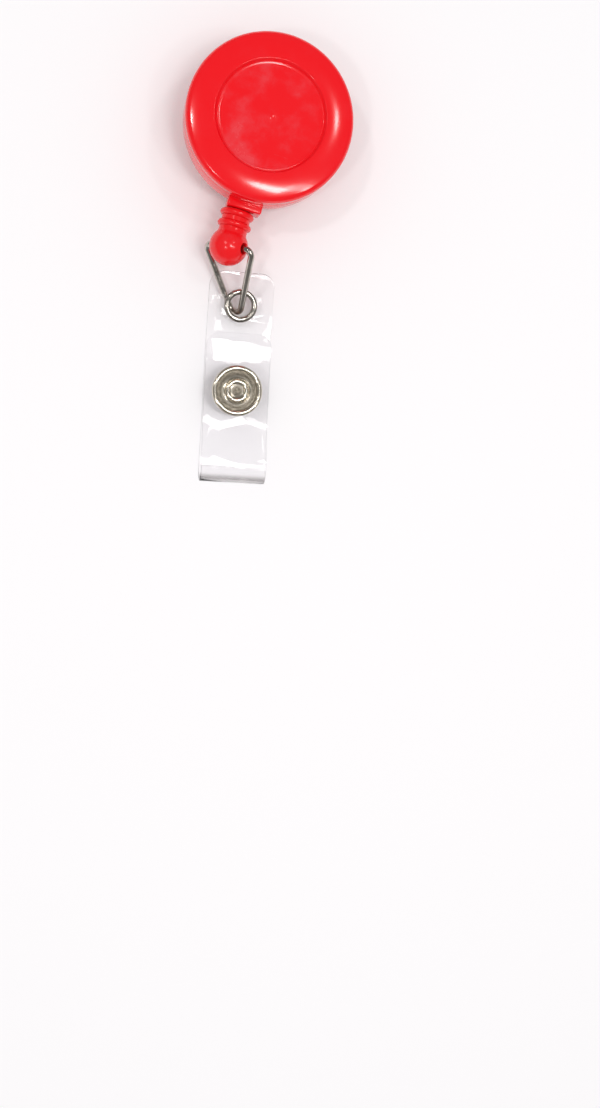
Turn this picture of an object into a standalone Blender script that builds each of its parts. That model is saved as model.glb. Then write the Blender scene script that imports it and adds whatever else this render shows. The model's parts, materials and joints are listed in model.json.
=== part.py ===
"""Retractable badge reel: a round snap-together case with a spring-wound cord spool,
a moulded ball fitting on the cord, a wire loop, a clear snap strap and a swivel clip.

Metres, +Z out of the round face, the cord leaves towards -Y. The origin is on the reel's
axis, on the flat underside of the clip that the reel rests on.
"""
import math

import bmesh
import bpy
from mathutils import Matrix, Vector

MM = 0.001

# Clearances
REST_GAP = 0.1 * MM  # between pieces that touch
RUN_GAP = 0.15 * MM  # round a shaft that turns
AIR_GAP = 0.3 * MM  # between pieces that pass each other

# Round case
COVER_RADIUS = 16.0 * MM
COVER_CROWN_RADIUS = 1.3 * MM
COVER_CROWN_DROP = 0.5 * MM
LABEL_RIM = 5.65 * MM  # label recess to the cover's outside
LABEL_DEPTH = 0.4 * MM
LABEL_FLOOR = 1.4 * MM
REAR_STEP = 0.05 * MM  # the rear case is this much smaller in radius
REAR_DRAFT = 0.15 * MM
REAR_EDGE = 0.9 * MM
CASE_WALL = 1.4 * MM
CASE_FLOOR = 1.0 * MM
SEAM_BELOW_FACE = 3.1 * MM
LIP_WALL = 0.8 * MM
LIP_DEPTH = 1.6 * MM
POST_RADIUS = 1.9 * MM
POST_SLOT = 0.5 * MM
POST_SOCKET_DEPTH = 0.4 * MM

# Cord outlet in the case's side
OUTLET_WIDTH = 6.8 * MM
OUTLET_HEIGHT = 4.6 * MM
OUTLET_REACH = 1.4 * MM  # beyond the cover's rim
OUTLET_EDGE = 0.35 * MM
CORD_OFFSET_X = -0.8 * MM
OUTLET_BORE_PLAY = 0.425 * MM  # round the cord
OUTLET_MOUTH_RADIUS = 2.0 * MM

# Spool, spring and cord
SPOOL_RIM_GAP = 0.45 * MM  # flange to the cover's lip
SPOOL_FLANGE = 0.5 * MM
SPOOL_GROOVE = 2.0 * MM
SPOOL_WALL = 0.6 * MM
SPRING_CAP = 0.5 * MM
SPRING_PITCH = 0.7 * MM
SPRING_STRIP = 0.15 * MM
SPRING_WIDTH = 1.5 * MM
CORD_RADIUS = 0.375 * MM
CORD_LENGTH = 610.0 * MM
CORD_BELOW_RIM = 0.45 * MM  # full winding to the flange's rim
CORD_TURNS_WIDE = 2
KNOT_RADIUS = 1.0 * MM

# Moulded end fitting: ribbed sleeve and ball
RIB_RADIUS = 3.3 * MM
RIB_PITCH = 2.1 * MM
RIB_COUNT = 2
RIB_HALF = 0.62 * MM
SLEEVE_RADIUS = 2.75 * MM
BALL_RADIUS = 3.72 * MM
NECK_LENGTH = 0.955 * MM  # plain sleeve between the last rib and the ball
FITTING_BORE_PLAY = 0.275 * MM  # round the cord
CROSS_HOLE_PLAY = 0.375 * MM  # round the wire
FITTING_TWIST = math.radians(38.0)

# Wire loop
WIRE_RADIUS = 0.625 * MM
LOOP_LENGTH = 13.7 * MM  # cross hole to the middle of the wire at the foot
LOOP_SIDE_GAP = 0.405 * MM  # ball to wire
LOOP_CORNER_RADIUS = 1.2 * MM
LOOP_FOOT_RADIUS = 1.4 * MM
LOOP_PIN_INNER = 1.7 * MM
LOOP_YAW = math.radians(26.0)
LOOP_FOOT_LIFT = 0.575 * MM  # table to the wire at the foot

# Clear strap, in its own frame: X across, Y towards the eyelet end, from the eyelet
STRAP_WIDTH = 12.7 * MM
STRAP_THICKNESS = 0.5 * MM
STRAP_CORNER = 2.5 * MM
STRAP_YAW = math.radians(12.2)
EYELET_FROM_FOOT = Vector((0.7 * MM, 1.1 * MM))
EYELET_TO_END = 6.3 * MM
EYELET_TO_SNAP = 16.7 * MM
SNAP_TO_TAIL = 11.2 * MM
SNAP_TO_FOLD = 17.9 * MM
FOLD_RADIUS = 3.0 * MM  # outside of the fold
FOLD_REST = 0.1 * MM
SNAP_FLAT = 5.2 * MM  # half length of strap held flat by the snap
END_LIFT = 2.8 * MM
TAIL_LIFT = 0.5 * MM

# Eyelet
EYELET_HOLE_PLAY = 1.525 * MM  # round the wire
EYELET_FLANGE = 1.1 * MM
EYELET_TUBE_WALL = 0.25 * MM
EYELET_BEAD = 0.5 * MM

# Snap fastener
SNAP_RADIUS = 4.95 * MM
SNAP_BEAD = 0.55 * MM
SNAP_HUB_RADIUS = 2.35 * MM
SNAP_HUB_HEIGHT = 0.9 * MM
SNAP_DIMPLE_RADIUS = 1.35 * MM
SNAP_WEB = 0.3 * MM
SNAP_TUBE_RADIUS = 1.0 * MM
SOCKET_RADIUS = 4.3 * MM
SOCKET_HEIGHT = 1.3 * MM
STUD_RADIUS = 1.8 * MM
STUD_BASE_RADIUS = 3.5 * MM
STUD_HEIGHT = 1.35 * MM
STUD_WALL = 0.5 * MM
POST_FLANGE_RADIUS = 4.0 * MM
POST_FLANGE = 0.6 * MM

# Swivel clip
CLIP_WIDTH = 10.0 * MM
CLIP_HEIGHT = 4.6 * MM
CLIP_SHEET = 0.7 * MM
CLIP_MOUTH_Y = -13.5 * MM
CLIP_HANDLE_Y = 14.5 * MM
CLIP_CORNER = 2.0 * MM
CLIP_PIVOT_Y = 5.0 * MM
CLIP_PIN_RADIUS = 0.7 * MM
CLIP_EAR_RADIUS = 1.3 * MM
CLIP_TEETH = 5
CLIP_TOOTH = 0.5 * MM
CLIP_SPRING_RADIUS = 1.15 * MM
CLIP_SPRING_WIRE = 0.25 * MM
CLIP_SPRING_TURNS = 4
CLIP_SPRING_LEG = 6.0 * MM
RIVET_RADIUS = 1.0 * MM
RIVET_HEAD_RADIUS = 2.2 * MM
RIVET_HEAD = 0.6 * MM
RIVET_DEPTH = 2.0 * MM
WASHER_RADIUS = 3.0 * MM
WASHER_THICKNESS = 0.4 * MM

# Facets
CASE_STEPS = 48
ROUND_STEPS = 24
WIRE_POINTS = 5
WELD = 1e-7

# Heights that follow from the sizes above
CLIP_TOP = CLIP_HEIGHT
CASE_BOTTOM = CLIP_TOP + WASHER_THICKNESS + 2 * REST_GAP
FLOOR_Z = CASE_BOTTOM + CASE_FLOOR
SPOOL_BOTTOM = FLOOR_Z + AIR_GAP
GROOVE_BOTTOM = SPOOL_BOTTOM + SPOOL_FLANGE
GROOVE_TOP = GROOVE_BOTTOM + SPOOL_GROOVE
SPRING_BOTTOM = GROOVE_TOP + 2 * SPOOL_FLANGE + AIR_GAP
SPRING_TOP = SPRING_BOTTOM + SPRING_WIDTH
SPOOL_TOP = SPRING_TOP + AIR_GAP + SPRING_CAP + REST_GAP
CEILING_Z = SPOOL_TOP + AIR_GAP
FACE_Z = CEILING_Z + LABEL_FLOOR + LABEL_DEPTH
SEAM_Z = FACE_Z - SEAM_BELOW_FACE
CORD_Z = (GROOVE_BOTTOM + GROOVE_TOP) / 2

# Radii that follow
LABEL_RADIUS = COVER_RADIUS - LABEL_RIM
REAR_RADIUS = COVER_RADIUS - REAR_STEP
REAR_INNER = REAR_RADIUS - CASE_WALL
LIP_INNER = REAR_INNER - REST_GAP - LIP_WALL
SPOOL_FLANGE_RADIUS = LIP_INNER - SPOOL_RIM_GAP
CORD_PACK_RADIUS = SPOOL_FLANGE_RADIUS - CORD_BELOW_RIM
OUTLET_BORE_RADIUS = CORD_RADIUS + OUTLET_BORE_PLAY
FITTING_BORE_RADIUS = CORD_RADIUS + FITTING_BORE_PLAY
CROSS_HOLE_RADIUS = WIRE_RADIUS + CROSS_HOLE_PLAY
LOOP_HALF_WIDTH = BALL_RADIUS + WIRE_RADIUS + LOOP_SIDE_GAP
LOOP_FOOT_HEIGHT = WIRE_RADIUS + LOOP_FOOT_LIFT
EYELET_HOLE_RADIUS = WIRE_RADIUS + EYELET_HOLE_PLAY
EYELET_RADIUS = EYELET_HOLE_RADIUS + EYELET_FLANGE

# Lengths along the cord that follow
SLEEVE_LENGTH = 2 * RIB_HALF + (RIB_COUNT - 1) * RIB_PITCH + NECK_LENGTH
BALL_FROM_TOP = SLEEVE_LENGTH + math.sqrt(BALL_RADIUS ** 2 - SLEEVE_RADIUS ** 2)
OUTLET_Y = -COVER_RADIUS - OUTLET_REACH
FITTING_TOP_Y = OUTLET_Y - AIR_GAP
BALL_Y = FITTING_TOP_Y - BALL_FROM_TOP


def smooth_step(t):
    t = min(max(t, 0.0), 1.0)
    return t * t * (3 - 2 * t)


# --- scene helpers -----------------------------------------------------------------

def clear_scene():
    for obj in list(bpy.data.objects):
        bpy.data.objects.remove(obj, do_unlink=True)


def make_material(name, colour, roughness, metallic=0.0, alpha=1.0):
    material = bpy.data.materials.new(name)
    material.use_nodes = True
    shader = material.node_tree.nodes["Principled BSDF"]
    shader.inputs["Base Color"].default_value = (*colour, 1.0)
    shader.inputs["Roughness"].default_value = roughness
    shader.inputs["Metallic"].default_value = metallic
    shader.inputs["Alpha"].default_value = alpha
    return material


def empty(name, matrix=None, parent=None):
    """A frame that pieces are parented to."""
    obj = bpy.data.objects.new(name, None)
    obj.empty_display_size = 2 * MM
    bpy.context.collection.objects.link(obj)
    obj.parent = parent
    obj.matrix_basis = matrix or Matrix()
    return obj


def finish(name, bm, material, parent, matrix=None):
    """Turns a bmesh into a named object whose faces point outwards."""
    bmesh.ops.remove_doubles(bm, verts=bm.verts, dist=WELD)
    bmesh.ops.recalc_face_normals(bm, faces=bm.faces)
    mesh = bpy.data.meshes.new(name)
    bm.to_mesh(mesh)
    bm.free()
    mesh.shade_smooth()
    mesh.set_sharp_from_angle(angle=math.radians(35))
    obj = bpy.data.objects.new(name, mesh)
    bpy.context.collection.objects.link(obj)
    if material:
        mesh.materials.append(material)
    obj.parent = parent
    obj.matrix_basis = matrix or Matrix()
    return obj


def turned(name, outline, material, parent, steps=ROUND_STEPS, matrix=None):
    """A solid of revolution about local Z from a closed outline of (radius, height)."""
    bm = bmesh.new()
    points = [bm.verts.new((r, 0, z)) for r, z in outline]
    edges = []
    for a, b in zip(points, points[1:] + points[:1]):
        if a.co.x > WELD or b.co.x > WELD:
            edges.append(bm.edges.new((a, b)))
    bmesh.ops.spin(
        bm, geom=points + edges, cent=(0, 0, 0), axis=(0, 0, 1), angle=math.tau, steps=steps
    )
    return finish(name, bm, material, parent, matrix)


def extruded(name, outline, low, high, material, parent, plane="XY", matrix=None):
    """A prism of an outline, from low to high along the axis that the plane leaves out."""
    place = {
        "XY": lambda a, b, c: (a, b, c),
        "YZ": lambda a, b, c: (c, a, b),
        "XZ": lambda a, b, c: (a, c, b),
    }[plane]
    bm = bmesh.new()
    face = bm.faces.new([bm.verts.new(place(a, b, low)) for a, b in outline])
    top = bmesh.ops.extrude_face_region(bm, geom=[face])
    moved = [v for v in top["geom"] if isinstance(v, bmesh.types.BMVert)]
    bmesh.ops.translate(bm, verts=moved, vec=Vector(place(0, 0, high - low)))
    return finish(name, bm, material, parent, matrix)


def box(name, low, high, material, parent, matrix=None):
    outline = [(low[0], low[1]), (high[0], low[1]), (high[0], high[1]), (low[0], high[1])]
    return extruded(name, outline, low[2], high[2], material, parent, matrix=matrix)


def rod(name, points, radius, material, parent, sides=2):
    """A round wire or cord along a list of points."""
    curve = bpy.data.curves.new(name, "CURVE")
    curve.dimensions = "3D"
    curve.bevel_depth = radius
    curve.bevel_resolution = sides
    curve.use_fill_caps = True
    spline = curve.splines.new("POLY")
    spline.points.add(len(points) - 1)
    for target, point in zip(spline.points, points):
        target.co = (*point, 1.0)
    curve.materials.append(material)
    obj = bpy.data.objects.new(name, curve)
    bpy.context.collection.objects.link(obj)
    obj.parent = parent
    return obj


def combine(target, other, operation):
    """Cuts with, or joins on, a helper object that isn't itself part of the model."""
    modifier = target.modifiers.new(other.name, "BOOLEAN")
    modifier.operation = operation
    modifier.solver = "EXACT"
    modifier.object = other
    other.hide_render = True
    other.display_type = "WIRE"


def cut_round(target, radius, low, high, matrix=None, steps=ROUND_STEPS):
    """Cuts a round hole along local Z."""
    outline = [(0, high), (radius, high), (radius, low), (0, low)]
    name = f"{target.name}_hole_{len(target.modifiers)}"
    combine(target, turned(name, outline, None, target, steps, matrix), "DIFFERENCE")


def cut_box(target, low, high, matrix=None):
    name = f"{target.name}_slot_{len(target.modifiers)}"
    combine(target, box(name, low, high, None, target, matrix), "DIFFERENCE")


def arc(centre_a, centre_b, radius, start, end, steps):
    """Points of an arc in a plane, angles in degrees."""
    angles = [math.radians(start + (end - start) * i / steps) for i in range(steps + 1)]
    return [(centre_a + radius * math.cos(t), centre_b + radius * math.sin(t)) for t in angles]


def rounded_end(half_width, low_y, high_y, corner, steps=4):
    """Outline of a strip that has square corners at low_y and round ones at high_y."""
    across, up = half_width - corner, high_y - corner
    right = arc(across, up, corner, 0, 90, steps)
    left = arc(-across, up, corner, 90, 180, steps)
    return [(-half_width, low_y), (half_width, low_y)] + right + left


# --- case -------------------------------------------------------------------------

def crown_outline(steps=6):
    """The cover's outside from the label recess out over the crowned rim to the seam."""
    centre_r = COVER_RADIUS - COVER_CROWN_RADIUS
    top = FACE_Z - COVER_CROWN_DROP
    centre_z = top - COVER_CROWN_RADIUS
    shoulder = LABEL_RADIUS + (centre_r - LABEL_RADIUS) / 2
    rim = arc(centre_r, centre_z, COVER_CROWN_RADIUS, 78, 0, steps)
    ramp = LABEL_DEPTH / 2
    return [
        (LABEL_RADIUS, FACE_Z - LABEL_DEPTH),
        (LABEL_RADIUS + ramp, FACE_Z - REST_GAP),
        (LABEL_RADIUS + 2 * ramp, FACE_Z),
        (shoulder, FACE_Z - COVER_CROWN_DROP / 4),
        *rim,
    ]


def build_cover(red, case):
    lip_outer = REAR_INNER - REST_GAP
    seam = SEAM_Z + REST_GAP
    socket = POST_RADIUS + RUN_GAP
    outline = [
        (0, FACE_Z - LABEL_DEPTH),
        *crown_outline(),
        (COVER_RADIUS, seam),
        (lip_outer, seam),
        (lip_outer, SEAM_Z - LIP_DEPTH),
        (LIP_INNER, SEAM_Z - LIP_DEPTH),
        (LIP_INNER, CEILING_Z),
        (socket, CEILING_Z),
        (socket, CEILING_Z + POST_SOCKET_DEPTH),
        (0, CEILING_Z + POST_SOCKET_DEPTH),
    ]
    return turned("front_cover", outline, red, case, CASE_STEPS)


def build_rear_case(red, case):
    rivet_hole = RIVET_RADIUS + REST_GAP
    rivet_top = CASE_BOTTOM + RIVET_DEPTH + AIR_GAP
    post_top = CEILING_Z + POST_SOCKET_DEPTH - REST_GAP
    foot = REAR_RADIUS - REAR_DRAFT
    edge = arc(foot - REAR_EDGE, CASE_BOTTOM + REAR_EDGE, REAR_EDGE, -90, 0, 3)
    outline = [
        (0, rivet_top),
        (rivet_hole, rivet_top),
        (rivet_hole, CASE_BOTTOM),
        *edge,
        (REAR_RADIUS, SEAM_Z),
        (REAR_INNER, SEAM_Z),
        (REAR_INNER, FLOOR_Z),
        (POST_RADIUS, FLOOR_Z),
        (POST_RADIUS, post_top),
        (0, post_top),
    ]
    rear = turned("rear_case", outline, red, case, CASE_STEPS)
    half = OUTLET_WIDTH / 2
    low = (-half, OUTLET_Y, CORD_Z - OUTLET_HEIGHT / 2)
    high = (half, -REAR_INNER - CASE_WALL / 2, CORD_Z + OUTLET_HEIGHT / 2)
    outlet = box("rear_case_outlet", low, high, red, rear)
    soften = outlet.modifiers.new("soften", "BEVEL")
    soften.width = OUTLET_EDGE
    soften.segments = 1
    combine(rear, outlet, "UNION")
    along = Matrix.Translation((CORD_OFFSET_X, 0, CORD_Z)) @ Matrix.Rotation(math.pi / 2, 4, "X")
    cut_round(rear, OUTLET_BORE_RADIUS, REAR_INNER - CASE_WALL, -OUTLET_Y + CASE_WALL, along)
    mouth = bmesh.new()
    bmesh.ops.create_uvsphere(
        mouth, u_segments=16, v_segments=8, radius=OUTLET_MOUTH_RADIUS
    )
    place = Matrix.Translation((CORD_OFFSET_X, -REAR_INNER, CORD_Z))
    combine(rear, finish("rear_case_mouth", mouth, None, rear, place), "DIFFERENCE")
    slot = POST_SLOT / 2
    reach = POST_RADIUS + REST_GAP
    cut_box(rear, (-reach, -slot, rivet_top + AIR_GAP), (reach, slot, post_top + CASE_WALL))
    return rear


# --- spool, spring and cord ---------------------------------------------------------

def groove_root():
    """Bottom of the cord groove: as deep as the layers that the whole cord needs."""
    radius, left = CORD_PACK_RADIUS, CORD_LENGTH
    while left > 0:
        left -= CORD_TURNS_WIDE * math.tau * (radius - CORD_RADIUS)
        radius -= 2 * CORD_RADIUS
    return radius


SPOOL_GROOVE_RADIUS = groove_root()
SPRING_CAVITY = SPOOL_GROOVE_RADIUS - SPOOL_WALL


def build_spool(black, spool_frame):
    bore = POST_RADIUS + RUN_GAP
    flange = SPOOL_FLANGE_RADIUS
    root = SPOOL_GROOVE_RADIUS
    outline = [
        (bore, SPOOL_BOTTOM + SPOOL_FLANGE),
        (bore, SPOOL_BOTTOM),
        (flange, SPOOL_BOTTOM),
        (flange, GROOVE_BOTTOM),
        (root, GROOVE_BOTTOM),
        (root, GROOVE_TOP),
        (flange, GROOVE_TOP),
        (flange, GROOVE_TOP + SPOOL_FLANGE),
        (root, GROOVE_TOP + SPOOL_FLANGE),
        (root, SPOOL_TOP),
        (SPRING_CAVITY, SPOOL_TOP),
        (SPRING_CAVITY, SPOOL_BOTTOM + SPOOL_FLANGE),
    ]
    spool = turned("spool", outline, black, spool_frame, CASE_STEPS)
    half = POST_SLOT
    low = (SPRING_CAVITY - REST_GAP, -half, GROOVE_TOP + 2 * SPOOL_FLANGE)
    high = (root + REST_GAP, half, SPOOL_TOP + CASE_WALL)
    cut_box(spool, low, high)
    cap_top = SPOOL_TOP - REST_GAP
    cap_rim = SPRING_CAVITY - REST_GAP
    cap = [
        (bore, cap_top),
        (bore, cap_top - SPRING_CAP),
        (cap_rim, cap_top - SPRING_CAP),
        (cap_rim, cap_top),
    ]
    turned("spring_cap", cap, black, spool_frame, 32)


def build_power_spring(steel, case):
    """A flat strip from the slot in the post, spiralling out to the slot in the spool."""
    steps = 16
    first = POST_RADIUS + 2 * AIR_GAP
    last = SPRING_CAVITY - AIR_GAP
    line = [Vector((-POST_RADIUS / 2, 0)), Vector((POST_RADIUS, 0))]
    count = round((last - first) / SPRING_PITCH) * steps
    for i in range(1, count + 1):
        angle = math.tau * i / steps
        radius = first + (last - first) * i / count
        line.append(Vector((radius * math.cos(angle), radius * math.sin(angle))))
    line.append(Vector((SPOOL_GROOVE_RADIUS - REST_GAP, 0)))
    bm = bmesh.new()
    pairs = []
    for i, point in enumerate(line):
        ahead = line[min(i + 1, len(line) - 1)] - line[max(i - 1, 0)]
        side = Vector((-ahead.y, ahead.x)).normalized() * SPRING_STRIP / 2
        pairs.append([bm.verts.new((*(point + s * side), SPRING_BOTTOM)) for s in (-1, 1)])
    faces = [bm.faces.new((a[0], b[0], b[1], a[1])) for a, b in zip(pairs, pairs[1:])]
    raised = bmesh.ops.extrude_face_region(bm, geom=faces)
    moved = [v for v in raised["geom"] if isinstance(v, bmesh.types.BMVert)]
    bmesh.ops.translate(bm, verts=moved, vec=(0, 0, SPRING_WIDTH))
    finish("power_spring", bm, steel, case)


def build_wound_cord(white, spool_frame):
    """The cord on its spool, as one ring whose outside shows two turns side by side."""
    inner = SPOOL_GROOVE_RADIUS + REST_GAP
    outer = CORD_PACK_RADIUS
    low, high = GROOVE_BOTTOM + REST_GAP, GROOVE_TOP - REST_GAP
    middle = (low + high) / 2
    turn = (high - low) / 4
    outline = [(inner, high), (inner, low)]
    outline += arc(outer - turn, low + turn, turn, -90, 70, 4)
    outline += arc(outer - turn, middle + turn, turn, -70, 90, 4)
    turned("wound_cord", outline, white, spool_frame, 32)


def build_cord_runs(white, case, cord_end):
    """The cord from the winding's outside to the outlet, then on to the knot."""
    reach = CORD_PACK_RADIUS + CORD_RADIUS + REST_GAP
    corner = Vector((CORD_OFFSET_X, -reach - 2 * CORD_RADIUS, CORD_Z))
    away = math.acos(reach / corner.xy.length)
    angle = math.atan2(corner.y, corner.x) + away
    start = Vector((reach * math.cos(angle), reach * math.sin(angle), CORD_Z))
    inside = Vector((CORD_OFFSET_X, -REAR_RADIUS, CORD_Z))
    split = Vector((CORD_OFFSET_X, OUTLET_Y + OUTLET_REACH / 2, CORD_Z))
    steps = 8
    points = []
    for i in range(steps + 1):
        t = i / steps
        points.append(start * (1 - t) ** 2 + corner * 2 * t * (1 - t) + inside * t * t)
    points.append(split)
    rod("cord_inner_run", points, CORD_RADIUS, white, case)
    knot = knot_place()
    first = split - Vector((0, REST_GAP, 0))
    last = knot + Vector((0, KNOT_RADIUS + REST_GAP, 0))
    run = [first.lerp(last, i / 3) for i in range(4)]
    local = cord_end.matrix_basis.inverted()
    rod("cord_outer_run", [local @ p for p in run], CORD_RADIUS, white, cord_end)
    ball = bmesh.new()
    bmesh.ops.create_icosphere(ball, subdivisions=2, radius=KNOT_RADIUS)
    finish("cord_knot", ball, white, cord_end, Matrix.Translation(local @ knot))


# --- end fitting and wire loop -------------------------------------------------------

def knot_from_top():
    """The knot sits where the sleeve meets the ball."""
    return SLEEVE_LENGTH - 2 * REST_GAP


def knot_place():
    return Vector((CORD_OFFSET_X, FITTING_TOP_Y - knot_from_top(), CORD_Z))


def build_fitting(red, fitting_frame):
    """Ribs, groove and ball turned about the cord, bored for cord and knot."""
    outline = [(FITTING_BORE_RADIUS, 0.0)]
    for rib in range(RIB_COUNT):
        middle = RIB_HALF + rib * RIB_PITCH
        crest = RIB_RADIUS - RIB_HALF
        outline += arc(crest, middle, RIB_HALF, -90, 90, 4)
        outline.append((SLEEVE_RADIUS, middle + RIB_HALF))
        if rib < RIB_COUNT - 1:
            outline.append((SLEEVE_RADIUS, middle + RIB_PITCH - RIB_HALF))
    join = math.degrees(math.asin(SLEEVE_RADIUS / BALL_RADIUS))
    outline += arc(0, BALL_FROM_TOP, BALL_RADIUS, -90 + join, 90, 9)[:-1]
    cavity = KNOT_RADIUS + AIR_GAP
    knot = knot_from_top()
    outline += [
        (0, BALL_FROM_TOP + BALL_RADIUS),
        (0, BALL_FROM_TOP),
        (FITTING_BORE_RADIUS, BALL_FROM_TOP),
        (FITTING_BORE_RADIUS, knot + 1.5 * cavity),
        (cavity, knot + cavity),
        (cavity, knot - cavity),
        (FITTING_BORE_RADIUS, knot - 1.5 * cavity),
    ]
    fitting = turned("end_fitting", outline, red, fitting_frame, ROUND_STEPS)
    spin = Matrix.Rotation(FITTING_TWIST, 4, "Z") @ Matrix.Rotation(math.pi / 2, 4, "Y")
    cross = Matrix.Translation((0, 0, BALL_FROM_TOP)) @ spin
    cut_round(fitting, CROSS_HOLE_RADIUS, -2 * BALL_RADIUS, 2 * BALL_RADIUS, cross, 16)


def loop_matrix():
    """Frame of the wire loop: X through the cross hole, -Y towards the foot."""
    ball = Vector((CORD_OFFSET_X, BALL_Y, CORD_Z))
    dip = math.asin((CORD_Z - LOOP_FOOT_HEIGHT) / LOOP_LENGTH)
    level = Vector((math.sin(LOOP_YAW), -math.cos(LOOP_YAW), 0)) * math.cos(dip)
    towards_foot = level - Vector((0, 0, math.sin(dip)))
    hole = Vector((math.cos(FITTING_TWIST), 0, math.sin(FITTING_TWIST)))
    across = (hole - towards_foot * hole.dot(towards_foot)).normalized()
    normal = across.cross(-towards_foot)
    axes = Matrix((across, -towards_foot, normal)).transposed()
    return Matrix.Translation(ball) @ axes.to_4x4()


def build_wire_loop(nickel, loop_frame):
    """Two short pins in the ball, two straight legs, and a round foot."""
    slope = math.atan2(LOOP_HALF_WIDTH, full_v_length())
    foot_angle = math.degrees(slope)
    foot_y = -(LOOP_LENGTH - LOOP_FOOT_RADIUS)
    foot = arc(0, foot_y, LOOP_FOOT_RADIUS, 0 - foot_angle, -90, WIRE_POINTS)
    back = LOOP_CORNER_RADIUS * math.tan((math.pi / 2 - slope) / 2)
    corner_x = LOOP_HALF_WIDTH - back
    corner = arc(corner_x, -LOOP_CORNER_RADIUS, LOOP_CORNER_RADIUS, 90, -foot_angle, WIRE_POINTS)
    half = [(LOOP_PIN_INNER, 0)] + corner + foot
    whole = half + [(-x, y) for x, y in reversed(half[:-1])]
    rod("wire_loop", [(x, y, 0) for x, y in whole], WIRE_RADIUS, nickel, loop_frame)


def full_v_length():
    """How far the straight legs would run before they met, past the rounded foot."""
    length = LOOP_LENGTH
    for _ in range(40):
        half_angle = math.atan2(LOOP_HALF_WIDTH, length)
        length = LOOP_LENGTH + LOOP_FOOT_RADIUS * (1 / math.sin(half_angle) - 1)
    return length


# --- strap, eyelet and snap -----------------------------------------------------------

STRAP_HALF = STRAP_THICKNESS / 2
SNAP_Y = -EYELET_TO_SNAP
FOLD_Y = SNAP_Y - SNAP_TO_FOLD + FOLD_RADIUS
FOLD_MID_RADIUS = FOLD_RADIUS - STRAP_HALF
FOLD_Z = FOLD_RADIUS + FOLD_REST
BACK_Z = FOLD_Z - FOLD_MID_RADIUS
FRONT_Z = FOLD_Z + FOLD_MID_RADIUS
SNAP_BACK_Z = FOLD_REST + POST_FLANGE + 2 * REST_GAP + STRAP_HALF
SNAP_BODY = REST_GAP + SOCKET_HEIGHT + STUD_WALL + REST_GAP
SNAP_FRONT_Z = SNAP_BACK_Z + SNAP_BODY + STRAP_THICKNESS
FLAT_START = SNAP_Y - SNAP_FLAT
FLAT_END = SNAP_Y + SNAP_FLAT


def back_height(y):
    """Middle of the strap's back layer above the table, y along the strap."""
    if y < FLAT_END:
        return BACK_Z + (SNAP_BACK_Z - BACK_Z) * smooth_step((y - FOLD_Y) / (FLAT_START - FOLD_Y))
    along = (y - FLAT_END) / (EYELET_TO_END - FLAT_END)
    return SNAP_BACK_Z + END_LIFT * along ** 1.5


def front_height(y):
    """Middle of the strap's front layer, which the snap pulls down on to the back."""
    if y < FLAT_END:
        drop = smooth_step((y - FOLD_Y) / (FLAT_START - FOLD_Y))
        return FRONT_Z + (SNAP_FRONT_Z - FRONT_Z) * drop
    tail = SNAP_Y + SNAP_TO_TAIL
    return SNAP_FRONT_Z + TAIL_LIFT * smooth_step((y - FLAT_END) / (tail - FLAT_END))


def strap_layer(name, height, high_y, clear, frame):
    """A flat strip cut into short lengths that follow the height of its layer."""
    outline = rounded_end(STRAP_WIDTH / 2, FOLD_Y + REST_GAP, high_y, STRAP_CORNER)
    bm = bmesh.new()
    face = bm.faces.new([bm.verts.new((x, y, -STRAP_HALF)) for x, y in outline])
    top = bmesh.ops.extrude_face_region(bm, geom=[face])
    moved = [v for v in top["geom"] if isinstance(v, bmesh.types.BMVert)]
    bmesh.ops.translate(bm, verts=moved, vec=(0, 0, STRAP_THICKNESS))
    cuts = 10
    for i in range(1, cuts):
        y = FOLD_Y + (high_y - STRAP_CORNER - FOLD_Y) * i / cuts
        everything = list(bm.verts) + list(bm.edges) + list(bm.faces)
        bmesh.ops.bisect_plane(bm, geom=everything, plane_co=(0, y, 0), plane_no=(0, 1, 0))
    for vert in bm.verts:
        vert.co.z += height(vert.co.y)
    return finish(name, bm, clear, frame)


def build_fold(clear, frame):
    """The half round bend that joins the two layers."""
    outer = arc(FOLD_Y, FOLD_Z, FOLD_RADIUS, 90, 270, 10)
    inner = arc(FOLD_Y, FOLD_Z, FOLD_RADIUS - STRAP_THICKNESS, 270, 90, 10)
    half = STRAP_WIDTH / 2
    extruded("strap_fold", outer + inner, -half, half, clear, frame, "YZ")


def build_eyelet(nickel, frame):
    """A flanged tube through the strap's end, and the washer it is set over."""
    hole = EYELET_HOLE_RADIUS
    tube = hole + EYELET_TUBE_WALL
    face = STRAP_HALF + REST_GAP
    crest = (EYELET_RADIUS + hole) / 2
    bead = [
        (EYELET_RADIUS, face),
        (EYELET_RADIUS, face + EYELET_BEAD / 2),
        (crest + EYELET_BEAD / 2, face + 0.9 * EYELET_BEAD),
        (crest, face + EYELET_BEAD),
        (crest - EYELET_BEAD / 2, face + 0.85 * EYELET_BEAD),
        (hole, face + EYELET_BEAD / 3),
    ]
    below = -face - 0.8 * EYELET_BEAD
    outline = [(tube, face)] + bead + [(hole, below), (tube, below)]
    turned("eyelet_front", outline, nickel, frame)
    inner = tube + REST_GAP
    washer = [
        (inner, -face),
        (EYELET_RADIUS, -face),
        (EYELET_RADIUS, -face - EYELET_BEAD / 3),
        (crest, -face - 0.8 * EYELET_BEAD),
        (inner, -face - 0.8 * EYELET_BEAD),
    ]
    turned("eyelet_washer", washer, nickel, frame)
    return tube


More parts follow.
